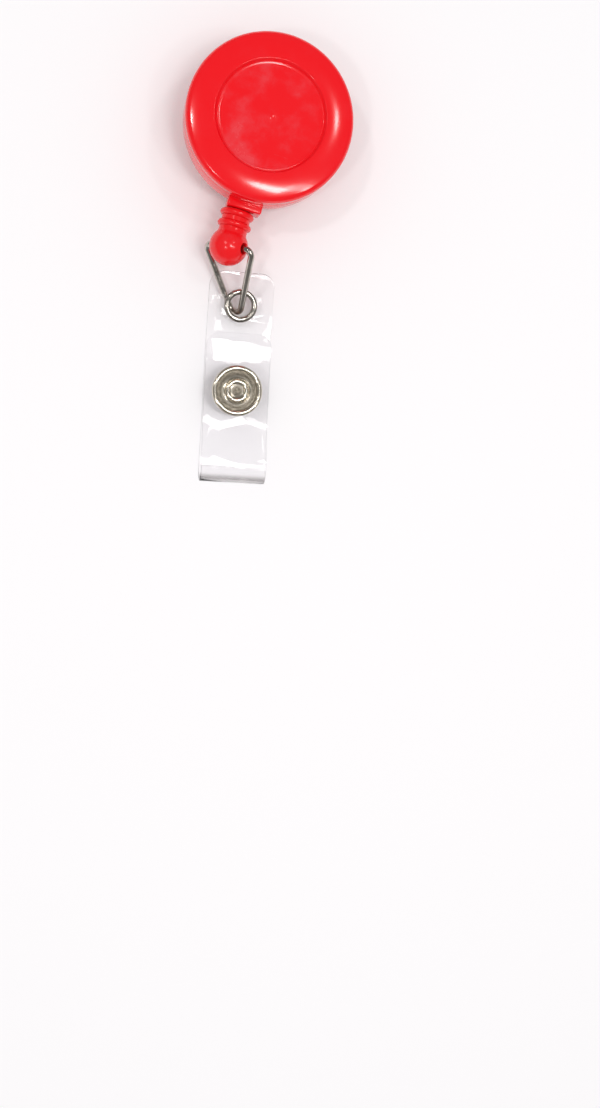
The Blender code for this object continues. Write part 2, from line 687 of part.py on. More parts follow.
def build_snap(nickel, back_frame, front_frame):
    """Cap and socket on the front layer, stud and post on the back layer."""
    face = STRAP_HALF + REST_GAP
    tube = SNAP_TUBE_RADIUS
    bead = SNAP_BEAD
    ring_r, ring_z = SNAP_RADIUS - bead, face + bead
    hub_crest = (SNAP_HUB_RADIUS + SNAP_DIMPLE_RADIUS) / 2
    tube_end = SNAP_BACK_Z + face + STUD_HEIGHT + REST_GAP - SNAP_FRONT_Z
    cap = [
        (0, face + SNAP_WEB),
        (0.6 * SNAP_DIMPLE_RADIUS, face + 1.2 * SNAP_WEB),
        (SNAP_DIMPLE_RADIUS, face + 0.8 * SNAP_HUB_HEIGHT),
        (hub_crest, face + SNAP_HUB_HEIGHT),
        (SNAP_HUB_RADIUS, face + 0.8 * SNAP_HUB_HEIGHT),
        (SNAP_HUB_RADIUS + bead / 4, face + SNAP_WEB),
        *arc(ring_r, ring_z, bead, 200, -90, 7),
        (tube, face),
        (tube, tube_end),
        (0, tube_end),
    ]
    turned("snap_cap", cap, nickel, front_frame, 32)

    opening = STUD_RADIUS + AIR_GAP
    hole = tube + REST_GAP
    low = -face - SOCKET_HEIGHT
    edge = SNAP_WEB
    socket = [
        (hole, -face),
        (hole, -face - SNAP_WEB),
        (opening + edge / 2, -face - SNAP_WEB),
        (opening, low + edge),
        (opening + edge, low),
        (SOCKET_RADIUS - edge, low),
        (SOCKET_RADIUS, low + edge),
        (SOCKET_RADIUS, -face - edge),
        (SOCKET_RADIUS - edge, -face),
    ]
    turned("snap_socket", socket, nickel, front_frame)

    wall = STUD_WALL
    bore = tube + REST_GAP
    neck = STUD_RADIUS - wall / 2
    top = face + STUD_HEIGHT
    stud = [
        (0, top - wall),
        (bore, top - wall),
        (bore, face),
        (STUD_BASE_RADIUS, face),
        (STUD_BASE_RADIUS, face + SNAP_WEB),
        (neck, face + SNAP_WEB),
        (neck, face + 0.4 * STUD_HEIGHT),
        (STUD_RADIUS, face + 0.7 * STUD_HEIGHT),
        (neck, top - wall / 4),
        (0, top),
    ]
    turned("snap_stud", stud, nickel, back_frame)

    flange = POST_FLANGE_RADIUS
    bottom = -face - POST_FLANGE
    post = [
        (0, bottom),
        (flange - edge, bottom),
        (flange, bottom + edge),
        (flange, -face),
        (tube, -face),
        (tube, top - wall - REST_GAP),
        (0, top - wall - REST_GAP),
    ]
    turned("snap_post", post, nickel, back_frame)
    return hole


def build_strap(clear, nickel, strap_frame, flap_frame):
    """Strap layers, the fold between them, the eyelet and the snap."""
    back = strap_layer("strap_back", back_height, EYELET_TO_END, clear, strap_frame)
    tail = SNAP_Y + SNAP_TO_TAIL
    front = strap_layer("strap_front", front_height, tail, clear, flap_frame)
    front.matrix_basis = flap_frame.matrix_basis.inverted()
    build_fold(clear, strap_frame)

    rise = math.atan2(back_height(REST_GAP) - back_height(-REST_GAP), 2 * REST_GAP)
    tilt = Matrix.Translation((0, 0, back_height(0))) @ Matrix.Rotation(rise, 4, "X")
    eyelet_frame = empty("eyelet_frame", tilt, strap_frame)
    tube = build_eyelet(nickel, eyelet_frame)
    through = 2 * STRAP_THICKNESS
    cut_round(back, tube + REST_GAP, -through, through, tilt)

    on_back = Matrix.Translation((0, SNAP_Y, SNAP_BACK_Z))
    on_front = Matrix.Translation((0, SNAP_Y, SNAP_FRONT_Z))
    back_frame = empty("snap_back_frame", on_back, strap_frame)
    front_local = flap_frame.matrix_basis.inverted() @ on_front
    front_frame = empty("snap_front_frame", front_local, flap_frame)
    hole = build_snap(nickel, back_frame, front_frame)
    cut_round(back, hole, -through, through, on_back)
    cut_round(front, hole, -through, through, on_front)


# --- swivel clip ------------------------------------------------------------------------

CLIP_UPPER_Z = CLIP_TOP - CLIP_SHEET
CLIP_PIN_Z = CLIP_HEIGHT / 2
CLIP_MEET_Z = CLIP_HEIGHT / 2
EAR_OUTER = CLIP_WIDTH / 2
EAR_INNER = EAR_OUTER - CLIP_SHEET
LOWER_EAR_OUTER = EAR_INNER - REST_GAP
LOWER_EAR_INNER = LOWER_EAR_OUTER - CLIP_SHEET


def clip_plate(name, low, high, half_width, steel, parent):
    """A flat plate with round handle corners."""
    outline = rounded_end(half_width, CLIP_MOUTH_Y, CLIP_HANDLE_Y, CLIP_CORNER, 3)
    return extruded(name, outline, low, high, steel, parent)


def toothed_edge(base, level, gap):
    """Outline of a jaw's lip: a straight base and a row of teeth at the meeting line."""
    half = CLIP_WIDTH / 2
    line = []
    for i in range(2 * CLIP_TEETH + 1):
        x = -half + CLIP_WIDTH * i / (2 * CLIP_TEETH)
        line.append((x, level + gap + (CLIP_TOOTH if i % 2 else 0.0)))
    return [(half, base), (-half, base)] + line


def ear(name, plate_z, low_x, high_x, steel, parent):
    """A side ear, as wide as its plate at the root and round about the pin."""
    root = 1.6 * CLIP_EAR_RADIUS
    if plate_z > CLIP_PIN_Z:
        curve = arc(CLIP_PIVOT_Y, CLIP_PIN_Z, CLIP_EAR_RADIUS, 180, 360, 8)
    else:
        curve = arc(CLIP_PIVOT_Y, CLIP_PIN_Z, CLIP_EAR_RADIUS, 180, 0, 8)
    outline = [(CLIP_PIVOT_Y - root, plate_z)] + curve + [(CLIP_PIVOT_Y + root, plate_z)]
    return extruded(name, outline, low_x, high_x, steel, parent, "YZ")


def build_jaw(name, plate, root_z, lip_gap, ears, steel, frame):
    """Plate, toothed lip and two ears in one stamping, drilled for the pin."""
    half = CLIP_WIDTH / 2
    jaw = clip_plate(name, *plate, half, steel, frame)
    jaw.matrix_basis = frame.matrix_basis.inverted()
    outline = toothed_edge(root_z, CLIP_MEET_Z, lip_gap)
    back = CLIP_MOUTH_Y + CLIP_SHEET
    lip = extruded(f"{name}_lip", outline, CLIP_MOUTH_Y, back, steel, jaw, "XZ")
    combine(jaw, lip, "UNION")
    for side in (-1, 1):
        low_x, high_x = sorted(side * x for x in ears)
        combine(jaw, ear(f"{name}_ear_{side + 1}", root_z, low_x, high_x, steel, jaw), "UNION")
    across = Matrix.Translation((0, CLIP_PIVOT_Y, CLIP_PIN_Z)) @ Matrix.Rotation(
        math.pi / 2, 4, "Y"
    )
    cut_round(jaw, CLIP_PIN_RADIUS + REST_GAP, -CLIP_WIDTH, CLIP_WIDTH, across, 16)
    return jaw


def build_clip(steel, white, case, clip_frame, jaw_frame):
    upper_plate = (CLIP_UPPER_Z, CLIP_TOP)
    upper_root = CLIP_UPPER_Z + CLIP_SHEET / 2
    ears = (EAR_INNER, EAR_OUTER)
    upper = build_jaw(
        "clip_upper_jaw", upper_plate, upper_root, REST_GAP, ears, steel, clip_frame
    )
    cut_round(upper, RIVET_RADIUS + RUN_GAP, 0, 2 * CLIP_HEIGHT)
    lower_root = CLIP_SHEET / 2
    lower_ears = (LOWER_EAR_INNER, LOWER_EAR_OUTER)
    build_jaw("clip_lower_jaw", (0.0, CLIP_SHEET), lower_root, 0.0, lower_ears, steel, jaw_frame)

    pin = CLIP_PIN_RADIUS
    half = EAR_OUTER + CLIP_SHEET / 2
    outline = [(0, half), (pin, half), (pin, -half), (0, -half)]
    across = Matrix.Translation((0, CLIP_PIVOT_Y, CLIP_PIN_Z)) @ Matrix.Rotation(
        math.pi / 2, 4, "Y"
    )
    turned("clip_pin", outline, steel, clip_frame, 16, across)
    build_clip_spring(steel, clip_frame)

    head = CLIP_UPPER_Z - REST_GAP
    rivet = [
        (0, head - RIVET_HEAD),
        (0.6 * RIVET_HEAD_RADIUS, head - 0.85 * RIVET_HEAD),
        (RIVET_HEAD_RADIUS, head - RIVET_HEAD / 3),
        (RIVET_HEAD_RADIUS, head),
        (RIVET_RADIUS, head),
        (RIVET_RADIUS, CASE_BOTTOM + RIVET_DEPTH),
        (0, CASE_BOTTOM + RIVET_DEPTH),
    ]
    turned("swivel_rivet", rivet, steel, case)
    low = CLIP_TOP + REST_GAP
    bore = RIVET_RADIUS + RUN_GAP
    washer = [
        (bore, low + WASHER_THICKNESS),
        (bore, low),
        (WASHER_RADIUS, low),
        (WASHER_RADIUS, low + WASHER_THICKNESS),
    ]
    turned("swivel_washer", washer, white, clip_frame)


def build_clip_spring(steel, clip_frame):
    """A coil round the pin whose two legs push the handles apart."""
    steps = 10
    half = CLIP_SPRING_TURNS * (2 * CLIP_SPRING_WIRE + REST_GAP) / 2
    leg_rise = (CLIP_HEIGHT / 2 - CLIP_SHEET - CLIP_SPRING_WIRE - REST_GAP)
    far = CLIP_PIVOT_Y + CLIP_SPRING_LEG
    points = [(-half, far, CLIP_PIN_Z - leg_rise)]
    count = CLIP_SPRING_TURNS * steps
    half_turn = math.pi / 2
    total = math.tau * CLIP_SPRING_TURNS - math.pi
    for i in range(count + 1):
        turn = -half_turn - total * i / count
        x = -half + 2 * half * i / count
        y = CLIP_PIVOT_Y + CLIP_SPRING_RADIUS * math.cos(turn)
        z = CLIP_PIN_Z + CLIP_SPRING_RADIUS * math.sin(turn)
        points.append((x, y, z))
    points.append((half, far, CLIP_PIN_Z + leg_rise))
    rod("clip_spring", points, CLIP_SPRING_WIRE, steel, clip_frame, 1)


# --- assembly ---------------------------------------------------------------------------

def build_all():
    clear_scene()
    red = make_material("red_abs", (0.78, 0.012, 0.018), 0.22)
    soft_red = make_material("soft_red_pvc", (0.76, 0.012, 0.016), 0.3)
    black = make_material("black_acetal", (0.03, 0.03, 0.032), 0.45)
    white = make_material("white_nylon", (0.86, 0.86, 0.84), 0.5)
    nickel = make_material("nickel_plate", (0.66, 0.63, 0.57), 0.24, 1.0)
    steel = make_material("plated_steel", (0.6, 0.6, 0.6), 0.3, 1.0)
    clear = make_material("clear_vinyl", (0.93, 0.94, 0.94), 0.12, 0.0, 0.35)

    case = empty("case_frame")
    spool_frame = empty("spool_frame", parent=case)
    along_cord = Matrix.Rotation(math.pi / 2, 4, "X")
    fitting_top = Vector((CORD_OFFSET_X, FITTING_TOP_Y, CORD_Z))
    cord_end = empty("cord_end_frame", Matrix.Translation(fitting_top), case)
    fitting_frame = empty("fitting_frame", along_cord, cord_end)

    build_cover(red, case)
    build_rear_case(red, case)
    build_spool(black, spool_frame)
    build_power_spring(steel, case)
    build_wound_cord(white, spool_frame)
    build_cord_runs(white, case, cord_end)
    build_fitting(soft_red, fitting_frame)

    loop_frame = empty("loop_frame", loop_matrix(), case)
    build_wire_loop(nickel, loop_frame)

    foot = loop_matrix() @ Vector((0, -LOOP_LENGTH, 0))
    turn = Matrix.Rotation(STRAP_YAW, 4, "Z")
    offset = turn @ Vector((*EYELET_FROM_FOOT, 0))
    origin = Matrix.Translation((foot.x + offset.x, foot.y + offset.y, 0))
    strap_frame = empty("strap_frame", origin @ turn, case)
    hinge = Matrix.Translation((0, FOLD_Y, FOLD_Z))
    flap_frame = empty("flap_frame", hinge, strap_frame)
    build_strap(clear, nickel, strap_frame, flap_frame)

    clip_frame = empty("clip_frame", parent=case)
    pivot = Matrix.Translation((0, CLIP_PIVOT_Y, CLIP_PIN_Z))
    jaw_frame = empty("jaw_frame", pivot, clip_frame)
    build_clip(steel, white, case, clip_frame, jaw_frame)


build_all()
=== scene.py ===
"""Retractable badge reel: its visible shapes and finishes, built round the jointed model.

All sizes are in metres. +Z is out of the round face, and the cord leaves towards -Y.
"""
import json
import math

import bmesh
import bpy
from mathutils import Matrix, Vector

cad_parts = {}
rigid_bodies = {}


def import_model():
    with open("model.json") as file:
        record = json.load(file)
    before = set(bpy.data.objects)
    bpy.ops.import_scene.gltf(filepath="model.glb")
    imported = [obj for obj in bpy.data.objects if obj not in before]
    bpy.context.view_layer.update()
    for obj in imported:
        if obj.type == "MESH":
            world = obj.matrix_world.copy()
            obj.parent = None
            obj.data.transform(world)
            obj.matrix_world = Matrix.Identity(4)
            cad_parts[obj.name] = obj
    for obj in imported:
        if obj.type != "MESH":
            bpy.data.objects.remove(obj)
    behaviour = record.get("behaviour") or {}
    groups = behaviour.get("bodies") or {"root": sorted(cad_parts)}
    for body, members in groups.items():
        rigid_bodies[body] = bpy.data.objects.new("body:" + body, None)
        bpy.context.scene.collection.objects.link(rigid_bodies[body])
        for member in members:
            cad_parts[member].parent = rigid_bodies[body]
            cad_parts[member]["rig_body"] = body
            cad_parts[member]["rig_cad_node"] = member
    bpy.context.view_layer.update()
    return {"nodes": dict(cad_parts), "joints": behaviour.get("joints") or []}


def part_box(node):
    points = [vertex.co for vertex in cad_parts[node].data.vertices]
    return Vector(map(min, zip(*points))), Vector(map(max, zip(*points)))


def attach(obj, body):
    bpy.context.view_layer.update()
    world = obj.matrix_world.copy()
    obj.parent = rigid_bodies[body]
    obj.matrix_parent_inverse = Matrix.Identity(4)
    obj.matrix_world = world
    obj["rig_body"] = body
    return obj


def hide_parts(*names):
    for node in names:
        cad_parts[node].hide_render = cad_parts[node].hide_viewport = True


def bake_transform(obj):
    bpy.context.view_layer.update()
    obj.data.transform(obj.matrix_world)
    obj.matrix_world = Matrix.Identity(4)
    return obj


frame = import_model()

MM = 0.001
JOINTS = {joint["name"]: joint for joint in frame["joints"]}
Z_AXIS = Vector((0, 0, 1))
AS_IT_IS = Matrix.Identity(4)

# Clearances between pieces, as the model has them
TOUCH = 0.1 * MM
RUN = 0.15 * MM
AIR = 0.3 * MM

# Round case
COVER_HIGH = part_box("front_cover")[1]
REAR_LOW, REAR_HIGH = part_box("rear_case")
COVER_RADIUS = COVER_HIGH.x
FACE_Z = COVER_HIGH.z
REAR_RADIUS = REAR_HIGH.x
CASE_BOTTOM = REAR_LOW.z
OUTLET_Y = REAR_LOW.y
LABEL_RADIUS = 10.35 * MM
LABEL_DEPTH = 0.4 * MM
LABEL_FILLET = 0.1 * MM
# The raised lip just inside the recess's edge: millimetres inwards, millimetres up
LABEL_LIP = (
    (0.8, 0.0), (0.68, 0.01), (0.56, 0.032), (0.44, 0.062),
    (0.34, 0.088), (0.27, 0.07), (0.2, -0.08), (0.1, -0.08),
)
# The mark that the moulding gate left in the middle: millimetres out, millimetres up
GATE_MARK = ((0.25, 0.04), (0.4, 0.02), (0.5, 0.0))
GATE_HEIGHT = 0.04 * MM
CROWN_RADIUS = 1.3 * MM
CROWN_DROP = 0.5 * MM
SEAM_BELOW_FACE = 3.1 * MM
LIP_DEPTH = 1.6 * MM
LIP_WALL = 0.8 * MM
CASE_WALL = 1.4 * MM
CASE_FLOOR = 1.0 * MM
LABEL_FLOOR = 1.4 * MM
SEAM_EDGE = 0.15 * MM
REAR_DRAFT = 0.15 * MM
REAR_EDGE = 0.9 * MM
REAR_LIP = 0.12 * MM
POST_RADIUS = 1.9 * MM
POST_SOCKET_DEPTH = 0.4 * MM
POST_SLOT = 0.5 * MM
RIVET_HOLE = 1.1 * MM
RIVET_HOLE_DEPTH = 2.3 * MM
OUTLET_WIDTH = 6.8 * MM
OUTLET_HEIGHT = 4.6 * MM
OUTLET_BORE = 0.8 * MM
OUTLET_MOUTH = 2.0 * MM
OUTLET_EDGE = 0.38 * MM
SEAM_Z = FACE_Z - SEAM_BELOW_FACE
CEILING_Z = FACE_Z - LABEL_DEPTH - LABEL_FLOOR
REAR_INNER = REAR_RADIUS - CASE_WALL
LIP_OUTER = REAR_INNER - TOUCH
LIP_INNER = LIP_OUTER - LIP_WALL

# Cord and its end fitting
BALL = Vector(JOINTS["fitting_twist"]["pos_m"])
FITTING_LOW, FITTING_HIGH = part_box("end_fitting")
FITTING_TOP = FITTING_HIGH.y
BALL_RADIUS = BALL.y - FITTING_LOW.y
BALL_FROM_TOP = FITTING_TOP - BALL.y
CORD_RADIUS = 0.375 * MM
RIB_RADIUS = 3.3 * MM
RIB_PITCH = 2.1 * MM
RIB_COUNT = 2
RIB_HALF = 0.62 * MM
SLEEVE_RADIUS = 2.75 * MM
SLEEVE_BORE = 0.65 * MM
KNOT_ROOM = 1.3 * MM
CROSS_HOLE = 1.0 * MM
CROSS_FLARE = 0.35 * MM
FITTING_TWIST = math.radians(38)

# Wire loop
WIRE_RADIUS = 0.625 * MM
WIRE_DRAWN = 0.985  # keeps the wire clear of the strap when it swings
LOOP_LENGTH = 13.7 * MM
LOOP_SIDE_GAP = 0.405 * MM
LOOP_CORNER_RADIUS = 1.2 * MM
LOOP_FOOT_RADIUS = 1.4 * MM
LOOP_PIN_INNER = 1.7 * MM
LOOP_YAW = math.radians(26)
LOOP_FOOT_HEIGHT = 1.2 * MM
LOOP_HALF_WIDTH = BALL_RADIUS + WIRE_RADIUS + LOOP_SIDE_GAP

# Strap, in its own frame: X across, Y towards the eyelet's end, from the eyelet
STRAP_WIDTH = 12.7 * MM
STRAP_THICKNESS = 0.5 * MM
STRAP_HALF = STRAP_THICKNESS / 2
STRAP_CORNER = 2.7 * MM
STRAP_EDGE = 0.16 * MM
EYELET_TO_END = 6.3 * MM
SNAP_Y = -16.7 * MM
TAIL_Y = SNAP_Y + 11.2 * MM
FOLD_RADIUS = 3.0 * MM
FOLD_Y = SNAP_Y - 17.9 * MM + FOLD_RADIUS
FOLD = Vector(JOINTS["flap_open"]["pos_m"])
FOLD_Z = FOLD.z
SNAP_FLAT = 5.2 * MM
END_LIFT = 2.8 * MM
SHEET_LIFT = 0.08 * MM
SHEET_LIFT_RUN = 6 * MM
TAIL_LIFT = 0.5 * MM
SNAP_BACK_Z = 1.15 * MM
SNAP_FRONT_Z = 3.65 * MM

# Eyelet and snap
LAYER_FACE = STRAP_HALF + TOUCH  # from the middle of a layer to the metal on it
EYELET_RADIUS = 3.25 * MM
EYELET_HOLE = 2.15 * MM
EYELET_WALL = 0.25 * MM
EYELET_BEAD = 0.5 * MM
EYELET_TAIL = 0.8 * EYELET_BEAD
BEAD_FULLNESS = 0.7  # below 1, the rolled rims are fuller than a half round
SNAP_RADIUS = 4.95 * MM
SNAP_BEAD = 0.55 * MM
SNAP_HUB = 2.35 * MM
SNAP_HUB_HEIGHT = 0.9 * MM
SNAP_DIMPLE = 1.35 * MM
SNAP_WEB = 0.3 * MM
SNAP_TUBE = 1.0 * MM
SOCKET_RADIUS = 4.3 * MM
SOCKET_HEIGHT = 1.3 * MM
STUD_RADIUS = 1.8 * MM
STUD_BASE = 3.5 * MM
STUD_HEIGHT = 1.35 * MM
STUD_WALL = 0.5 * MM
POST_FLANGE_RADIUS = 4.0 * MM
POST_FLANGE = 0.6 * MM


# --- camera, floor and light ---------------------------------------------------------

CAMERA_AT = Vector((-21.4, -76.3, 295.8)) * MM
CAMERA_BACK = Vector((-0.170, 0.005, 0.985))
CAMERA_UP = Vector((-0.258, 0.965, -0.049))
CAMERA_LENS = 48.7  # millimetres, on a long side of CAMERA_SENSOR
CAMERA_SENSOR = 36


def place_camera():
    back = CAMERA_BACK.normalized()
    right = CAMERA_UP.cross(back).normalized()
    up = back.cross(right)
    bpy.ops.object.camera_add()
    camera = bpy.context.object
    camera.name = "camera"
    turn = Matrix((right, up, back)).transposed().to_4x4()
    camera.matrix_world = Matrix.Translation(CAMERA_AT) @ turn
    camera.data.lens = CAMERA_LENS
    camera.data.sensor_width = CAMERA_SENSOR
    camera.data.clip_start = 1 * MM
    bpy.context.scene.camera = camera


LAMP_AIM = Vector((0, -24, 0)) * MM
LAMP_COLOUR = (1.0, 0.985, 0.975)
LAMP_HEIGHT = 0.6
LAMP_SPREAD = (0.265, 0.16)
LAMP_TURN = math.radians(17)
LAMP_SIZE = (0.045, 0.045)
LAMP_POWER = {-1: 0.33, 1: 0.165}  # watts, by side
PANE_SIZE = (0.056, 0.14)
PANES = (((0.104, -0.07, 0.63), 0.62), ((0.222, -0.07, 0.63), 0.217))  # place, watts


def add_lamp(at, size, power):
    bpy.ops.object.light_add(type="AREA", location=at)
    lamp = bpy.context.object
    lamp.rotation_euler = (LAMP_AIM - at).to_track_quat("-Z", "Y").to_euler()
    lamp.data.shape = "RECTANGLE"
    lamp.data.size, lamp.data.size_y = size
    lamp.data.energy = power
    lamp.data.color = LAMP_COLOUR


def place_lamps():
    """Four ceiling lamps round the camera, and two long panes at its right."""
    turn = Matrix.Rotation(LAMP_TURN, 4, "Z")
    for side in (-1, 1):
        for end in (-1, 1):
            offset = turn @ Vector((side * LAMP_SPREAD[0], end * LAMP_SPREAD[1], LAMP_HEIGHT))
            add_lamp(LAMP_AIM + offset, LAMP_SIZE, LAMP_POWER[side])
    for place, power in PANES:
        add_lamp(Vector(place), PANE_SIZE, power)


WORLD_FILL = 0.65
WORLD_COLOUR = (1.0, 0.995, 1.0, 1.0)
ROOM_WALLS = 0.22
ROOM_CEILING = 0.19
WALL_TOP, CEILING_FROM = 0.3, 0.85  # where the walls turn into the ceiling, as a direction's Z


def make_world():
    """Even fill light. The camera sees it white, and polished and clear surfaces see a dim room."""
    world = bpy.data.worlds.new("room")
    bpy.context.scene.world = world
    world.use_nodes = True
    nodes, links = world.node_tree.nodes, world.node_tree.links
    shade = nodes["Background"]
    path = nodes.new("ShaderNodeLightPath")
    where = nodes.new("ShaderNodeTexCoord")
    split = nodes.new("ShaderNodeSeparateXYZ")
    links.new(where.outputs["Generated"], split.inputs[0])
    height = split.outputs["Z"]
    room = ranged(nodes, links, height, WALL_TOP, CEILING_FROM, ROOM_WALLS, ROOM_CEILING)
    glossy, clear = path.outputs["Is Glossy Ray"], path.outputs["Is Transmission Ray"]
    sharp = maths(nodes, links, "MAXIMUM", glossy, clear)
    inside = nodes.new("ShaderNodeMix")
    inside.data_type = "FLOAT"
    links.new(sharp, inside.inputs["Factor"])
    inside.inputs[2].default_value = WORLD_FILL
    links.new(room, inside.inputs[3])
    strength = nodes.new("ShaderNodeMix")
    strength.data_type = "FLOAT"
    links.new(path.outputs["Is Camera Ray"], strength.inputs["Factor"])
    links.new(inside.outputs[0], strength.inputs[2])
    strength.inputs[3].default_value = 1.0
    links.new(strength.outputs[0], shade.inputs["Strength"])
    shade.inputs["Color"].default_value = WORLD_COLOUR


FLOOR_SIZE = 4
FLOOR_COLOUR = (0.965, 0.955, 0.965, 1)


def make_floor():
    bpy.ops.mesh.primitive_plane_add(size=FLOOR_SIZE, location=(0, 0, 0))
    floor = bpy.context.object
    floor.name = "table_top"
    material, shader = new_material("table_paint")[:2]
    shader.inputs["Base Color"].default_value = FLOOR_COLOUR
    shader.inputs["Roughness"].default_value = 0.6
    shader.inputs["Specular IOR Level"].default_value = 0.1
    floor.data.materials.append(material)


# --- shared shader groups --------------------------------------------------------------

def new_group(name, inputs, outputs):
    """An empty node group with named float or vector sockets."""
    group = bpy.data.node_groups.new(name, "ShaderNodeTree")
    kinds = {"float": "NodeSocketFloat", "vector": "NodeSocketVector"}
    for socket, kind, default in inputs:
        made = group.interface.new_socket(socket, in_out="INPUT", socket_type=kinds[kind])
        made.default_value = default
    for socket, kind in outputs:
        group.interface.new_socket(socket, in_out="OUTPUT", socket_type=kinds[kind])
    return group, group.nodes.new("NodeGroupInput"), group.nodes.new("NodeGroupOutput")


def noise(nodes, links, source, scale, detail=3.0, roughness=0.55):
    node = nodes.new("ShaderNodeTexNoise")
    node.inputs["Detail"].default_value = detail
    node.inputs["Roughness"].default_value = roughness
    if isinstance(scale, bpy.types.NodeSocket):
        links.new(scale, node.inputs["Scale"])
    else:
        node.inputs["Scale"].default_value = scale
    links.new(source, node.inputs["Vector"])
    return node.outputs["Fac"]


def ranged(nodes, links, value, low, high, out_low=0.0, out_high=1.0):
    """A smooth step of a value between two levels, from one output to the other."""
    node = nodes.new("ShaderNodeMapRange")
    node.interpolation_type = "SMOOTHSTEP"
    links.new(value, node.inputs["Value"])
    sockets = ("From Min", "From Max", "To Min", "To Max")
    for socket, number in zip(sockets, (low, high, out_low, out_high)):
        node.inputs[socket].default_value = number
    return node.outputs["Result"]


def maths(nodes, links, operation, a, b=None):
    """A sum on one or two values, each another node's output or a number."""
    node = nodes.new("ShaderNodeMath")
    node.operation = operation
    for socket, value in zip(node.inputs, (a, b)):
        if value is None:
            continue
        if isinstance(value, bpy.types.NodeSocket):
            links.new(value, socket)
        else:
            socket.default_value = value
    return node.outputs[0]


def tinted(nodes, links, factor, first, second):
    """A colour between two others, each another node's output or red, green and blue."""
    node = nodes.new("ShaderNodeMix")
    node.data_type = "RGBA"
    links.new(factor, node.inputs["Factor"])
    for socket, value in ((node.inputs[6], first), (node.inputs[7], second)):
        if isinstance(value, bpy.types.NodeSocket):
            links.new(value, socket)
        else:
            socket.default_value = (*value, 1.0)
    return node.outputs[2]


def handling_group():
    """Marks of handling on plastic: cloudy smudges, fine scratches and dust specks."""
    group, entry, out = new_group(
        "handling",
        [
            ("Vector", "vector", (0, 0, 0)),
            ("Cloud size", "float", 300.0),
            ("Amount", "float", 0.5),
        ],
        [("Cloud", "float"), ("Scratch", "float"), ("Height", "float")],
    )
    nodes, links = group.nodes, group.links
    vector = entry.outputs["Vector"]
    clouds = noise(nodes, links, vector, entry.outputs["Cloud size"], 5.0, 0.62)
    cloud = ranged(nodes, links, clouds, 0.44, 0.7)
    stretch = nodes.new("ShaderNodeMapping")
    stretch.inputs["Rotation"].default_value = (0.0, 0.0, 0.6)
    stretch.inputs["Scale"].default_value = (1.0, 26.0, 1.0)
    links.new(vector, stretch.inputs["Vector"])
    lines = noise(nodes, links, stretch.outputs["Vector"], 160.0, 6.0, 0.7)
    scratch = ranged(nodes, links, lines, 0.64, 0.74)
    amount = entry.outputs["Amount"]
    links.new(maths(nodes, links, "MULTIPLY", cloud, amount), out.inputs["Cloud"])
    links.new(maths(nodes, links, "MULTIPLY", scratch, amount), out.inputs["Scratch"])
    grain = noise(nodes, links, vector, 2600.0, 2.0)
    height = maths(nodes, links, "SUBTRACT", grain, maths(nodes, links, "MULTIPLY", scratch, 0.4))
    links.new(height, out.inputs["Height"])
    return group


def plating_group():
    """Plated or rolled metal: slow changes of polish, tarnish and fine drawing lines."""
    group, entry, out = new_group(
        "plating",
        [
            ("Vector", "vector", (0, 0, 0)),
            ("Line size", "float", 4000.0),
            ("Tarnish", "float", 0.3),
        ],
        [("Tarnish", "float"), ("Polish", "float"), ("Height", "float")],
    )
    nodes, links = group.nodes, group.links
    vector = entry.outputs["Vector"]
    patches = ranged(nodes, links, noise(nodes, links, vector, 700.0, 4.0), 0.42, 0.68)
    tarnish = maths(nodes, links, "MULTIPLY", patches, entry.outputs["Tarnish"])
    links.new(tarnish, out.inputs["Tarnish"])
    polish = ranged(nodes, links, noise(nodes, links, vector, 1500.0, 3.0), 0.3, 0.7)
    links.new(polish, out.inputs["Polish"])
    links.new(noise(nodes, links, vector, entry.outputs["Line size"], 3.0), out.inputs["Height"])
    return group


HANDLING = handling_group()
PLATING = plating_group()


# --- materials -----------------------------------------------------------------------

PLASTIC_GRAIN = 0.004 * MM
METAL_GRAIN = 0.006 * MM
VINYL_GRAIN = 0.003 * MM
SNAP_GRAIN = 0.12 * MM
BRAID_RELIEF = 0.05 * MM
BRAID_STRANDS = 6.0
BRAID_LAY = 5200.0  # radians along each metre of cord
SHELL_RED = (0.9, 0.003, 0.009)
# Paler haze, and how much of it lies in the label recess and on the ring: handling marks, and in
# the recess also painted reflection
SHELL_HAZE_AND_SHEEN = (0.8, 0.055, 0.075)
RECESS_HAZE_AND_SHEEN = 0.55
RING_HAZE = 0.08
SNAP_CLEAN, SNAP_TARNISHED = (0.88, 0.81, 0.69), (0.62, 0.55, 0.42)
# Painted shade down in the snap's channel: dark, with paler specks
CHANNEL_SHADE_DARK, CHANNEL_SHADE_PALE = (0.13, 0.115, 0.085), (0.36, 0.32, 0.26)
# Painted shade on the clear sheet where it is seen edge on
VINYL_EDGE_SHADE = (0.46, 0.44, 0.44)
VINYL_SHADOW = (0.995, 0.99, 0.995, 1)
# Painted shade in the gaps between strands, and the strands' crests
BRAID_GAP_SHADE, BRAID_CREST = (0.62, 0.62, 0.6), (0.9, 0.9, 0.88)


def new_material(name):
    material = bpy.data.materials.new(name)
    material.use_nodes = True
    nodes, links = material.node_tree.nodes, material.node_tree.links
    return material, nodes["Principled BSDF"], nodes, links


def placed_group(nodes, links, group, **values):
    """The group's node, fed with Object coordinates."""
    node = nodes.new("ShaderNodeGroup")
    node.node_tree = group
    where = nodes.new("ShaderNodeTexCoord")
    links.new(where.outputs["Object"], node.inputs["Vector"])
    for socket, value in values.items():
        node.inputs[socket.replace("_", " ")].default_value = value
    return node


def bumped(nodes, links, shader, height, distance, strength=0.3):
    bump = nodes.new("ShaderNodeBump")
    bump.inputs["Strength"].default_value = strength
    bump.inputs["Distance"].default_value = distance
    links.new(height, bump.inputs["Height"])
    links.new(bump.outputs["Normal"], shader.inputs["Normal"])


